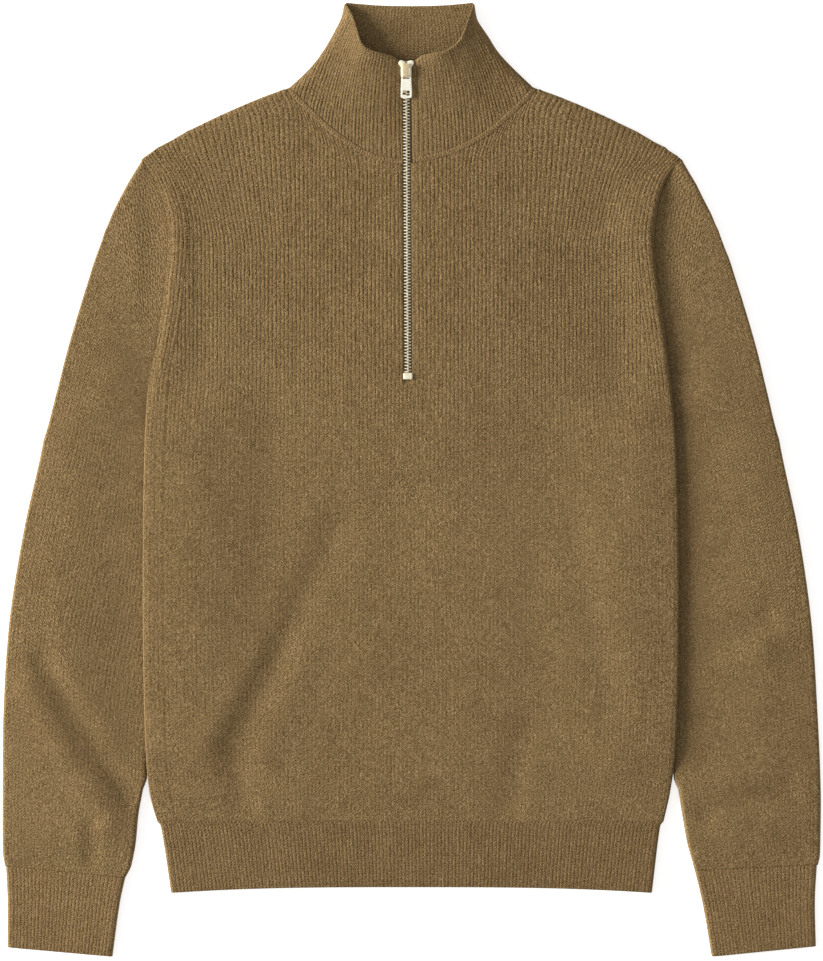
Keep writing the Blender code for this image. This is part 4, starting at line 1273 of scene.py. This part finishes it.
def make_neck_band():
    outer, inner = [], []
    for up in shares(BAND_ROWS):
        bulge = math.sqrt(1 - (2 * up - 1) ** 2)
        skins = [], []
        for station, (side, share, front) in enumerate(band_columns()):
            stitch = (up * 1.5, station * 1.3, 0.0)
            z = 1.0 - bulge
            if front:
                plain = neck_z(side, share) + NECK_BAND_RISE
                rolled = roll(from_fold(side, share, 0.0, True), COLLAR_ROLL)
                z = mix(FOLD_Z, plain, rolled) - 0.45 * (1 - bulge)
            skins[0].append((station, (*band_spot(side, share, up, front), z), stitch))
            share *= 1 - BAND_INSET
            z = WALL - 0.1
            if front:
                z = max(WALL + LAYER_GAP, neck_z(side, share) + NECK_BAND_RISE - WALL)
            skins[1].append((station, (*band_spot(side, share, mix(0.2, 0.8, up), front), z), stitch))
        outer.append([skins[0]])
        inner.append([skins[1]])
    return panel_mesh("linked_band", outer, inner)


# ---------------------------------------------------------------- zip


def zip_height(y):
    """Height of the cloth's outer face along the zip."""
    seam = NECK["right"][0].y
    if y < seam:
        return 2 * WALL + body_air(zip_x(y), y)
    up = (y - seam) / (COLLAR_TOP["right"][0].y - seam)
    rise = COLLAR_RISE_AT_ZIP * min(1.0, up) ** COLLAR_RISE_BEND
    return 2 * WALL + body_air(zip_x(seam), seam) + rise


def zip_slope(y, reach=4.0):
    return math.atan((zip_height(y + reach) - zip_height(y - reach)) / (2 * reach))


def make_tape():
    skins = [], []
    for y in (mix(ZIP_BOTTOM_Y - 2, ZIP_TOP_Y, share) for share in shares(TAPE_STEPS)):
        for skin, low in zip(skins, (0.0, TAPE_THICK)):
            spots = []
            for k, share in enumerate(shares(TAPE_COLUMNS)):
                aside = (share - 0.5) * TAPE_WIDTH
                spots.append((k, (zip_x(y) + aside, y, zip_height(y) - TAPE_DROP - low), (aside, y, 0.0)))
            skin.append([spots])
    return panel_mesh("woven_tape", *skins)


def select_only(*objects):
    """Selects these alone, with the first one active."""
    bpy.ops.object.select_all(action="DESELECT")
    for each in objects:
        each.select_set(True)
    if objects:
        bpy.context.view_layer.objects.active = objects[0]


def apply_place():
    bpy.ops.object.transform_apply(location=True, rotation=True, scale=True)


def start_box(name, low, high):
    """A box between two corners in millimetres, alone in the selection."""
    select_only()
    size = [(h - l) * MM for l, h in zip(low, high)]
    middle = [(h + l) / 2 * MM for l, h in zip(low, high)]
    bpy.ops.mesh.primitive_cube_add(size=1, location=middle, scale=size)
    made = bpy.context.object
    made.name = made.data.name = name
    apply_place()
    return made


def edit(made, pick, kind="FACE"):
    """Edit mode with only the faces, edges or corners that pick accepts selected; it sees millimetres."""
    if made.mode == "EDIT":
        bpy.ops.object.mode_set(mode="OBJECT")
    bpy.ops.object.mode_set(mode="EDIT")
    bpy.ops.mesh.select_mode(type=kind)
    bpy.ops.mesh.select_all(action="DESELECT")
    form = bmesh.from_edit_mesh(made.data)
    if kind == "FACE":
        chosen = [part for part in form.faces if pick(part.calc_center_median() / MM, part.normal)]
    elif kind == "EDGE":
        chosen = [part for part in form.edges if pick(*(end.co / MM for end in part.verts))]
    else:
        chosen = [part for part in form.verts if pick(part.co / MM)]
    for part in chosen:
        part.select_set(True)
    form.select_flush_mode()
    bmesh.update_edit_mesh(made.data)


def slice_box(made, axis, places):
    """Cuts across a form at places along an axis."""
    way = [0.0, 0.0, 0.0]
    way[axis] = 1.0
    for place in places:
        edit(made, lambda spot: True, "VERT")
        bpy.ops.mesh.bisect(plane_co=[part * place * MM for part in way], plane_no=way)


def move(made, pick, way):
    """Moves the corners that pick accepts by millimetres."""
    edit(made, pick, "VERT")
    bpy.ops.transform.translate(value=[part * MM for part in way])


def narrow(made, pick, share):
    """Draws the corners that pick accepts in towards the middle line."""
    edit(made, pick, "VERT")
    bpy.ops.transform.resize(value=(share, 1, 1), center_override=(0, 0, 0))


def round_edges(made, pick, radius, segments):
    """Rounds the edges that pick accepts."""
    edit(made, pick, "EDGE")
    bpy.ops.mesh.bevel(offset=radius * MM, segments=segments, affect="EDGES")


def is_upright(first, last):
    return abs(first.x - last.x) < SAME and abs(first.y - last.y) < SAME


def soften(made, width, segments=3, angle=30):
    """Leaves edit mode and rounds the edges that are left sharp."""
    bpy.ops.object.mode_set(mode="OBJECT")
    soft = made.modifiers.new("soft edges", "BEVEL")
    soft.width = width * MM
    soft.segments = segments
    soft.limit_method = "ANGLE"
    soft.angle_limit = math.radians(angle)
    bpy.ops.object.modifier_apply(modifier=soft.name)
    bpy.ops.object.shade_smooth_by_angle(angle=math.radians(35))


def set_down(made, spot, turn):
    """Turns a finished form about its origin, sets it at a spot and applies its place."""
    made.rotation_euler = (turn, 0.0, 0.0)
    made.location = [part * MM for part in spot]
    select_only(made)
    apply_place()
    return made


def slider_frame():
    """Middle of the slider's top edge on the chain, and the chain's slope there."""
    slope = (zip_height(ZIP_TOP_Y) - zip_height(ZIP_TOP_Y - SLIDER_LENGTH)) / SLIDER_LENGTH
    return (zip_x(ZIP_TOP_Y + 1), ZIP_TOP_Y + 1, zip_height(ZIP_TOP_Y)), math.atan(slope)


def model_tooth():
    """One zip tooth: a bar with a narrowed head, clamped on the tape's edge."""
    tooth = start_box("tooth", (-CHAIN_HALF, -TOOTH_HALF, TOOTH_LOW), (TOOTH_REACH, TOOTH_HALF, TOOTH_HIGH))
    edit(tooth, lambda middle, normal: normal.x > 0.9)
    bpy.ops.transform.resize(value=(1, 0.9, 0.9))
    edit(tooth, lambda middle, normal: normal.x < -0.9)
    bpy.ops.transform.resize(value=(1, 0.95, 0.7))
    soften(tooth, TOOTH_SOFT, 1)
    return tooth


def model_teeth():
    """Both rows of teeth, each tooth a turned copy of one."""
    tooth = model_tooth()
    pitch = bpy.context.scene.sweater_zip.tooth_pitch / MM
    start = ZIP_BOTTOM_Y + STOP_LENGTH + 1.0
    copies = []
    for k in range(int((ZIP_TOP_Y - start - 0.7) / (pitch / 2)) + 1):
        y = start + k * pitch / 2
        copy = bpy.data.objects.new(f"tooth_{k}", tooth.data.copy())
        bpy.context.scene.collection.objects.link(copy)
        copy.matrix_world = (
            Matrix.Translation(Vector((zip_x(y), y, zip_height(y))) * MM)
            @ Matrix.Rotation(zip_slope(y), 4, "X")
            @ Matrix.Rotation(math.pi * (k % 2), 4, "Z")
        )
        copies.append(copy)
    bpy.data.objects.remove(tooth)
    select_only(*copies)
    bpy.ops.object.join()
    apply_place()
    teeth = bpy.context.object
    teeth.name = teeth.data.name = "zip_teeth"
    return teeth


def model_stop():
    """A smooth clamp below the last teeth."""
    half = STOP_WIDTH / 2
    stop = start_box("bottom_stop", (-half, 0.0, TOOTH_LOW), (half, STOP_LENGTH, STOP_PROUD))
    round_edges(stop, is_upright, STOP_ROUND, 4)
    edit(stop, lambda middle, normal: normal.z > 0.9)
    bpy.ops.mesh.inset(thickness=STOP_ROUND * MM, depth=0.0)
    bpy.ops.transform.translate(value=(0, 0, STOP_CROWN * MM))
    soften(stop, METAL_SOFT, 3, 12)
    y = ZIP_BOTTOM_Y
    return set_down(stop, (zip_x(y), y, zip_height(y)), zip_slope(y))


def model_slider():
    """A plate with two lobes at its crown, narrowing to its tail."""
    half, tail = SLIDER_WIDTH / 2, SLIDER_TAIL / 2
    plate = start_box("slider", (-half, -SLIDER_LENGTH, PLATE_LOW), (half, SLIDER_TOP, PLATE_TOP))
    slice_box(plate, 0, (-CROWN_SIDE, -NOTCH_HALF, 0.0, NOTCH_HALF, CROWN_SIDE))
    slice_box(plate, 1, SLIDER_CUTS)

    def crown(x):
        """Picks the corners of the crown's edge at a distance from the middle."""
        return lambda spot: abs(abs(spot.x) - x) < NEAR and spot.y > SLIDER_TOP - NEAR

    move(plate, crown(0.0), (0, -NOTCH_DEPTH, 0))
    move(plate, crown(NOTCH_HALF), (0, -CROWN_DIP, 0))
    narrow(plate, lambda spot: spot.y < SLIDER_WAIST_Y + NEAR, SLIDER_TAIL / SLIDER_WIDTH)

    def crown_corner(first, last):
        return is_upright(first, last) and abs(first.x) > half - NEAR and first.y > SLIDER_CUTS[-1] - NEAR

    def tail_corner(first, last):
        return is_upright(first, last) and abs(first.x) > tail - NEAR and first.y < NEAR - SLIDER_LENGTH

    round_edges(plate, crown_corner, CROWN_ROUND, 7)
    round_edges(plate, tail_corner, TAIL_ROUND, 4)
    soften(plate, METAL_SOFT)
    return set_down(plate, *slider_frame())


def model_bridge():
    """An arch over the pull's bar, on a leg at each end."""
    half = BRIDGE_WIDTH / 2
    start, end = BRIDGE_START, BRIDGE_START - BRIDGE_LENGTH
    under = PIVOT_Z + PIVOT_CLEAR
    top = under + BRIDGE_THICK
    first_leg, last_leg = start - LEG_START, end + LEG_END
    bridge = start_box("bridge", (-half, end, under), (half, start, top))
    slice_box(bridge, 1, (last_leg, first_leg))
    edit(bridge, lambda middle, normal: normal.z < -0.9 and not last_leg < middle.y < first_leg)
    leg = (0, 0, (PLATE_TOP - BRIDGE_SINK - under) * MM)
    bpy.ops.mesh.extrude_region_move(TRANSFORM_OT_translate={"value": leg})

    def arch_edge(first, last):
        across = abs(first.y - last.y) < SAME and abs(first.z - last.z) < SAME
        return across and first.z > top - NEAR and (first.y > start - NEAR or first.y < end + NEAR)

    round_edges(bridge, arch_edge, ARCH_ROUND, 6)
    narrow(bridge, lambda spot: spot.y < last_leg + NEAR, BRIDGE_TAPER)
    narrow(bridge, lambda spot: spot.y > start - 1.6 and spot.z > under + NEAR, BRIDGE_FLARE)
    soften(bridge, BRIDGE_SOFT, 4)
    return set_down(bridge, *slider_frame())


def open_window(made, low, high):
    """Cuts a rectangle through a flat form and joins its two sides."""

    def inside(middle, normal):
        return abs(normal.z) > 0.9 and low[0] < middle.x < high[0] and low[1] < middle.y < high[1]

    edit(made, inside)
    bpy.ops.mesh.bridge_edge_loops()


def model_pull():
    """A flat tab with a slot that makes its bar, and a small rounded window near its end."""
    half, thick, back = PULL_WIDTH / 2, PULL_THICK / 2, PULL_BAR / 2
    end = back - PULL_LENGTH
    slot_half, hole_half = PULL_SLOT[0] / 2, PULL_HOLE[0] / 2
    slot_low = -back - PULL_SLOT[1]
    hole_low = end + PULL_HOLE_TO_END - PULL_HOLE[1] / 2
    hole_high = hole_low + PULL_HOLE[1]
    windows = ((slot_half, slot_low, -back), (hole_half, hole_low, hole_high))
    pull = start_box("pull_tab", (-half, end, -thick), (half, back, thick))
    slice_box(pull, 0, (-slot_half, -hole_half, hole_half, slot_half))
    slice_box(pull, 1, (hole_low, hole_high, slot_low, -back))
    for reach, low, high in windows:
        open_window(pull, (-reach, low), (reach, high))

    def outer_corner(first, last):
        by_end = first.y > back - NEAR or first.y < end + NEAR
        return is_upright(first, last) and abs(first.x) > half - SAME and by_end

    def window_corner(first, last):
        return is_upright(first, last) and any(
            abs(abs(first.x) - reach) < SAME and min(abs(first.y - low), abs(first.y - high)) < SAME
            for reach, low, high in windows
        )

    round_edges(pull, outer_corner, PULL_ROUND, 6)
    round_edges(pull, window_corner, WINDOW_ROUND, 5)
    narrow(pull, lambda spot: abs(spot.x) > slot_half + NEAR and spot.y > slot_low - 2, PULL_TAPER)
    soften(pull, PULL_SOFT)
    (x, y, z), slope = slider_frame()
    y += PIVOT_Y * math.cos(slope) - PIVOT_Z * math.sin(slope)
    z += PIVOT_Y * math.sin(slope) + PIVOT_Z * math.cos(slope)
    return set_down(pull, (x, y, z), slope + PULL_TILT)


# ---------------------------------------------------------------- materials


def maths(operation, swapped=False):
    """A method that adds one Math node; swapped puts the other value first."""

    def method(term, *others):
        values = (*others, term) if swapped else (term, *others)
        return term.finish.node("ShaderNodeMath", {"operation": operation}, dict(enumerate(values)))

    return method


class Term:
    """A number in a material; sums and products of terms add Math nodes."""

    def __init__(self, finish, socket):
        self.finish = finish
        self.socket = socket

    __add__, __radd__ = maths("ADD"), maths("ADD", True)
    __sub__, __rsub__ = maths("SUBTRACT"), maths("SUBTRACT", True)
    __mul__, __rmul__ = maths("MULTIPLY"), maths("MULTIPLY", True)
    __truediv__, __rtruediv__ = maths("DIVIDE"), maths("DIVIDE", True)
    __abs__ = maths("ABSOLUTE")
    part = maths("FRACT")

    def soft_step(self, low, high):
        """0 below low and 1 above high, or the other way round."""
        settings = {"interpolation_type": "SMOOTHSTEP"}
        return self.finish.node("ShaderNodeMapRange", settings, {0: self, 1: low, 2: high})


class Finish:
    """A material and its nodes."""

    def __init__(self, name, **fixed):
        self.material = bpy.data.materials.new(name)
        self.material.use_nodes = True
        self.tree = self.material.node_tree
        self.shader = self.tree.nodes["Principled BSDF"]
        self.paint(**fixed)

    def node(self, kind, settings=None, inputs=None, out=0):
        """Adds a node with its settings and the values or links of its sockets."""
        made = self.tree.nodes.new(kind)
        for setting, value in (settings or {}).items():
            if setting == "stops":
                self.set_stops(made.color_ramp, value)
            else:
                setattr(made, setting, value)
        for key, value in (inputs or {}).items():
            self.feed(made.inputs[key], value)
        return Term(self, made.outputs[out])

    def feed(self, socket, value):
        if isinstance(value, Term):
            self.tree.links.new(value.socket, socket)
        else:
            socket.default_value = value

    def set_stops(self, ramp, stops):
        while len(ramp.elements) < len(stops):
            ramp.elements.new(0.5)
        for element, (place, colour) in zip(ramp.elements, stops):
            element.position = place
            element.color = (*colour, 1.0)

    def paint(self, **sockets):
        """Sets or feeds the shader's sockets, named in lower case."""
        for socket, value in sockets.items():
            self.feed(self.shader.inputs[socket.replace("_", " ").title().replace("Ior", "IOR")], value)

    def place(self):
        """Object coordinates, in metres."""
        return self.node("ShaderNodeTexCoord", out="Object")

    def stitches(self):
        """The knit attribute: ribs across, millimetres along and how full the rib is."""
        stitch = self.node("ShaderNodeAttribute", {"attribute_name": "knit"}, out="Vector")
        parts = self.node("ShaderNodeSeparateXYZ", None, {0: stitch})
        return [Term(self, socket) for socket in parts.socket.node.outputs]

    def grain(self, place, scale, detail=2.0, rough=0.5):
        """Noise of about 1 / scale metres, from 0 to 1."""
        inputs = {"Vector": place, "Scale": scale, "Detail": detail, "Roughness": rough}
        return self.node("ShaderNodeTexNoise", None, inputs)

    def blend(self, share, first, second, how="MIX"):
        settings = {"data_type": "RGBA", "blend_type": how}
        colours = [c if isinstance(c, Term) else (*c, 1.0) for c in (first, second)]
        return self.node("ShaderNodeMix", settings, {0: share, 6: colours[0], 7: colours[1]}, out=2)

    def bump(self, height, distance, strength=1.0):
        inputs = {"Height": height, "Distance": distance, "Strength": strength}
        self.paint(normal=self.node("ShaderNodeBump", None, inputs))


def tint(colour, *factors):
    """A colour times one factor, or times one each for red, green and blue."""
    factors = factors if len(factors) == 3 else factors * 3
    return tuple(min(1.0, part * factor) for part, factor in zip(colour, factors))


# How the yarn's fibres vary: a place on the noise, and what it does to red, green and blue.
HEATHER = (
    (0.34, (0.53, 0.48, 0.39)),
    (0.46, (0.89, 0.88, 0.85)),
    (0.55, (1.1, 1.1, 1.1)),
    (0.66, (1.66, 1.74, 1.98)),
)
# Painted shade multiplied into the yarn in the ribs' furrows and between the stitches.
FURROW_PAINTED_SHADE = (0.46, 0.4, 0.31)
# Lighter tone for light mottle away from the furrows: random tone, and a painted highlight on the rib crests.
MOTTLE_AND_CREST_LIGHT = (1.5, 1.5, 1.5)

# Scales of the knit's noises, in grains a metre
DRIFT, BROKEN, FIBRE, FLECK, PATCH, CLOUD = 160.0, 280.0, 1300.0, 640.0, 46.0, 9.0

# Brightness of each close rib, on its slot's colour
TRIM_SHADE = {"cuff_rib": 1.2, "hem_rib": 1.08, "linked_rib": 1.16}

# The metal pieces' brass: its tone on the slot's colour, its roughness, its dull spots and how metallic it is
Brass = namedtuple("Brass", "tone shine worn metallic")
BRASS = {
    "tooth_brass": Brass((1.2, 1.33, 1.85), 0.3, 0.2, 0.35),
    "slider_brass": Brass((1.2, 1.42, 2.05), 0.34, 0.3, 0.3),
    "bridge_brass": Brass((0.88, 0.86, 0.95), 0.34, 0.4, 0.45),
    "pull_brass": Brass((1.2, 1.47, 2.25), 0.3, 0.1, 0.22),
}


def knit_finish(name, colour, contrast=1.0, heather=1.0, even=0.3):
    """Heathered wool knit whose stitches follow the knit attribute, with painted shade in its ribs' furrows
    and between its stitches; contrast scales that painted shade.
    """
    finish = Finish(name, roughness=0.92, sheen_weight=0.12, sheen_roughness=0.6)
    finish.paint(sheen_tint=(*tint(colour, 2.6), 1.0), specular_ior_level=0.1)
    across, along, full = finish.stitches()
    place = finish.place()
    drift = finish.grain(place, DRIFT)
    groove = abs((across + 0.6 * drift + 0.2).part() - 0.5)
    broken = finish.grain(place, BROKEN, 1.0).soft_step(0.38, 0.6)
    furrow = groove.soft_step(0.2, 0.04) * full * (even + (1.35 - even) * broken)
    chevron = ((along / (cloth().course / MM) + 0.9 * groove + 1.3 * drift).part() - 0.5) * 2.0
    stitch_gap = abs(chevron).soft_step(0.35, 1.0)
    fibre = finish.grain(place, FIBRE, 1.0)
    fleck = finish.grain(place, FLECK, 1.0)
    patch = finish.grain(place, PATCH, 3.0, 0.6)
    cloud = finish.grain(place, CLOUD)
    stops = [(stop, tint(colour, *(mix(1.0, part, heather) for part in tone))) for stop, tone in HEATHER]
    yarn = finish.node("ShaderNodeValToRGB", {"stops": stops}, {0: 0.55 * fleck + 0.45 * fibre})
    # Painted shade in the ribs' furrows and between the stitches, plus random mottle of the yarn's tone from
    # patch and cloud.
    shade = contrast * (0.42 * furrow + 0.16 * stitch_gap)
    shade = shade + 0.5 * (0.5 - patch) + 0.28 * (0.5 - cloud)
    dark = shade.soft_step(0.0, 0.62)
    darkened = finish.blend(dark, yarn, finish.blend(1.0, yarn, FURROW_PAINTED_SHADE, "MULTIPLY"))
    # Lighter where that sum is low: random light mottle, and a painted highlight on the rib crests away from
    # the furrows.
    light = (0.05 - shade).soft_step(0.0, 0.32) * 0.25
    lightened = finish.blend(1.0, darkened, MOTTLE_AND_CREST_LIGHT, "MULTIPLY")
    finish.paint(base_color=finish.blend(light, darkened, lightened))
    finish.paint(roughness=0.86 + 0.12 * fleck)
    finish.bump(0.35 * (1.0 - stitch_gap) + 0.3 * (1.0 - furrow) + 0.4 * fibre + 0.8 * fleck, 0.0011)
    return finish.material


def tape_finish(colour):
    """Close woven twill."""
    finish = Finish("woven_tape", roughness=0.85, sheen_weight=0.15)
    across, along, _ = finish.stitches()
    ridge = abs(((across * 0.9 + along * 1.2) * 0.9).part() - 0.5) * 2.0
    thread = finish.grain(finish.place(), 2200.0)
    shade = 0.6 * ridge + 0.4 * thread
    finish.paint(base_color=finish.blend(shade, tint(colour, 0.55), tint(colour, 1.5)))
    finish.paint(roughness=0.75 + 0.2 * thread)
    finish.bump(shade, 0.0002, 0.8)
    return finish.material


def metal_finish(name):
    """Polished brass with fine rubbed scratches and a faint bloom."""
    tone, shine, worn, metallic = BRASS[name]
    colour = tint(bpy.context.scene.sweater_zip.metal, *tone)
    finish = Finish(name, metallic=metallic, roughness=shine)
    place = finish.place()
    stretched = finish.node("ShaderNodeMapping", None, {"Vector": place, "Scale": (1.0, 0.12, 1.0)})
    rub = finish.grain(stretched, 5200.0, 3.0, 0.7)
    bloom = finish.grain(place, 380.0, 3.0, 0.6)
    spot = finish.grain(place, 1400.0).soft_step(0.62, 0.8)
    base = finish.blend(bloom.soft_step(0.35, 0.7), tint(colour, 0.92), tint(colour, 1.12))
    finish.paint(base_color=finish.blend(spot * worn, base, tint(colour, 0.6)))
    finish.paint(roughness=shine + 0.16 * rub + 0.1 * bloom)
    finish.bump(rub, 0.00005, 0.35)
    return finish.material


def floor_finish(colour):
    """Smooth matt board with the faintest grain."""
    finish = Finish("pale_floor", roughness=0.9, emission_strength=0.6, emission_color=(1.0, 1.0, 1.0, 1.0))
    place = finish.place()
    grain = finish.grain(place, 240.0, 3.0)
    cloud = finish.grain(place, 3.0)
    finish.paint(base_color=finish.blend(0.5 * grain + 0.5 * cloud, tint(colour, 0.985), tint(colour, 1.01)))
    finish.bump(grain, 0.0001, 0.08)
    return finish.material


def knit_material(name="rib_knit", heather=1.0):
    return bpy.data.materials.get(name) or knit_finish(name, cloth().yarn, 1.0, heather)


def trim_material(name):
    colour = tint(cloth().trim, TRIM_SHADE[name])
    return bpy.data.materials.get(name) or knit_finish(name, colour, 1.1, 0.7, 0.6)


# ---------------------------------------------------------------- operators


class SWEATER_OT_front(bpy.types.Operator):
    """Knit the front, with its ribs, its slit for the zip and its soft folds"""

    bl_idname = "sweater.front"
    bl_label = "Front"

    def execute(self, context):
        piece = add_piece(make_front(), knit_material(), "garment", "body_front")
        return {"FINISHED"}


class SWEATER_OT_back(bpy.types.Operator):
    """Knit the back, which lies on the surface"""

    bl_idname = "sweater.back"
    bl_label = "Back"

    def execute(self, context):
        piece = add_piece(make_back(), knit_material(), "garment", "body_back")
        return {"FINISHED"}


class SWEATER_OT_sleeves(bpy.types.Operator):
    """Knit both sleeves as flattened tubes, each with an inner strip under the body's side"""

    bl_idname = "sweater.sleeves"
    bl_label = "Sleeves"

    def execute(self, context):
        for side in SIDES:
            piece = add_piece(make_sleeve(side), knit_material(), "garment", f"sleeve_{side}")
        return {"FINISHED"}


class SWEATER_OT_cuffs(bpy.types.Operator):
    """Knit both cuffs in close rib"""

    bl_idname = "sweater.cuffs"
    bl_label = "Cuffs"

    def execute(self, context):
        for side in SIDES:
            finish = trim_material("cuff_rib")
            piece = add_piece(make_cuff(side), finish, "garment", f"cuff_{side}")
        return {"FINISHED"}


class SWEATER_OT_hem(bpy.types.Operator):
    """Knit the hem band in close rib"""

    bl_idname = "sweater.hem"
    bl_label = "Hem"

    def execute(self, context):
        piece = add_piece(make_hem(), trim_material("hem_rib"), "garment", "hem_band")
        return {"FINISHED"}


class SWEATER_OT_collar(bpy.types.Operator):
    """Knit the stand collar and the linked band round its foot"""

    bl_idname = "sweater.collar"
    bl_label = "Collar"

    def execute(self, context):
        piece = add_piece(make_collar(), knit_material("collar_knit", 0.7), "garment", "collar")
        finish = trim_material("linked_rib")
        piece = add_piece(make_neck_band(), finish, "garment", "neck_band")
        return {"FINISHED"}


class SWEATER_OT_zip(bpy.types.Operator):
    """Weave the zip's tape, and model its teeth and its bottom stop"""

    bl_idname = "sweater.zip"
    bl_label = "Zip"

    def execute(self, context):
        colour = tuple(context.scene.sweater_zip.tape)
        tape = add_piece(make_tape(), tape_finish(colour), "garment", "zip_tape")
        for piece, node in ((model_teeth(), "zip_chain"), (model_stop(), "zip_bottom_stop")):
            place_metal(piece, "tooth_brass", "garment", node)
        return {"FINISHED"}


class SWEATER_OT_slider(bpy.types.Operator):
    """Model the slider with its bridge, and the pull that hangs from it"""

    bl_idname = "sweater.slider"
    bl_label = "Slider and pull"

    def execute(self, context):
        place_metal(model_slider(), "slider_brass", "garment", "zip_slider")
        place_metal(model_bridge(), "bridge_brass", "garment", "zip_slider")
        place_metal(model_pull(), "pull_brass", "pull", "zip_pull")
        return {"FINISHED"}


def place_metal(piece, name, body, node):
    """Gives a metal piece its brass and puts it in place of a CAD node."""
    piece.data.materials.append(bpy.data.materials.get(name) or metal_finish(name))
    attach(piece, body)
    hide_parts(node)


FLOOR_SIZE = 8.0
FLOOR_DROP = 0.0004
KEY_SOFTNESS, KEY_ELEVATION, KEY_BEARING = (math.radians(angle) for angle in (30, 17, 172))
KEY_DISTANCE = 5.5
KEY_COLOUR = (1.0, 0.985, 0.96)
ROOM_COLOUR = (1.0, 0.99, 0.975, 1.0)
LENS = 135.0
SENSOR = 36.0
CLOTH_LEVEL = 0.006


class SWEATER_OT_stage(bpy.types.Operator):
    """Lay the floor, hang the light and set the camera straight above"""

    bl_idname = "sweater.stage"
    bl_label = "Stage"

    def execute(self, context):
        scene = context.scene
        studio = scene.sweater_studio
        select_only()
        bpy.ops.mesh.primitive_grid_add(
            x_subdivisions=8, y_subdivisions=8, size=FLOOR_SIZE, location=(0, 0, -FLOOR_DROP)
        )
        floor = context.object
        floor.name = floor.data.name = "floor"
        apply_place()
        floor.data.materials.append(floor_finish(tuple(studio.floor)))
        floor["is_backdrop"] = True
        scene.world = bpy.data.worlds.new("soft_room")
        scene.world.use_nodes = True
        background = scene.world.node_tree.nodes["Background"]
        background.inputs["Color"].default_value = ROOM_COLOUR
        background.inputs["Strength"].default_value = studio.fill
        self.hang_softbox(scene, studio.key)
        self.add_camera(scene, studio.view_height)
        scene.view_settings.view_transform = "Standard"
        return {"FINISHED"}

    def hang_softbox(self, scene, strength):
        """A broad round light, low at the wearer's right; its bearing turns round from +X."""
        lamp = bpy.data.lights.new("key", "AREA")
        lamp.shape = "DISK"
        lamp.size = 2 * KEY_DISTANCE * math.tan(KEY_SOFTNESS / 2)
        lamp.energy = math.pi * strength * KEY_DISTANCE**2
        lamp.color = KEY_COLOUR
        key = bpy.data.objects.new("key", lamp)
        scene.collection.objects.link(key)
        flat = math.cos(KEY_ELEVATION)
        way = Vector((flat * math.cos(KEY_BEARING), flat * math.sin(KEY_BEARING), math.sin(KEY_ELEVATION)))
        key.location = KEY_DISTANCE * way
        key.visible_camera = False
        key.rotation_euler = way.to_track_quat("Z", "Y").to_euler()

    def add_camera(self, scene, view_height):
        """Straight above the middle, at the distance where the cloth fills the picture."""
        lens = bpy.data.cameras.new("camera")
        lens.lens = LENS
        lens.sensor_width = SENSOR
        lens.clip_end = 20.0
        camera = bpy.data.objects.new("camera", lens)
        camera.location = (0.0, 0.0, view_height * LENS / SENSOR + CLOTH_LEVEL)
        scene.collection.objects.link(camera)
        scene.camera = camera


class SWEATER_PT_panel(bpy.types.Panel):
    """Lists the pieces of the sweater and the values that shape them"""

    bl_idname = "SWEATER_PT_panel"
    bl_label = "Quarter Zip Sweater"
    bl_space_type = "VIEW_3D"
    bl_region_type = "UI"
    bl_category = "Sweater"

    def draw(self, context):
        for name in GROUPS:
            values = getattr(context.scene, name)
            box = self.layout.box()
            for prop in values.bl_rna.properties:
                if prop.identifier not in {"rna_type", "name"}:
                    box.prop(values, prop.identifier)
        for operator in OPERATORS:
            self.layout.operator(operator.bl_idname)


GROUPS = {"sweater_cloth": SweaterCloth, "sweater_zip": SweaterZip, "sweater_studio": SweaterStudio}
OPERATORS = (
    SWEATER_OT_front,
    SWEATER_OT_back,
    SWEATER_OT_sleeves,
    SWEATER_OT_cuffs,
    SWEATER_OT_hem,
    SWEATER_OT_collar,
    SWEATER_OT_zip,
    SWEATER_OT_slider,
    SWEATER_OT_stage,
)
CLASSES = (*GROUPS.values(), *OPERATORS, SWEATER_PT_panel)


def register():
    for each in CLASSES:
        bpy.utils.register_class(each)
    for name, group in GROUPS.items():
        setattr(bpy.types.Scene, name, PointerProperty(type=group))


def unregister():
    for name in GROUPS:
        delattr(bpy.types.Scene, name)
    for each in reversed(CLASSES):
        bpy.utils.unregister_class(each)


def plain(box):
    return [[float(part) for part in corner] for corner in box]


def main():
    register()
    for operator in OPERATORS:
        family, name = operator.bl_idname.split(".")
        getattr(getattr(bpy.ops, family), name)()
    {"cad": plain(CAD_BOX), "visual": plain(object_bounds())}


if __name__ == "__main__":
    main()
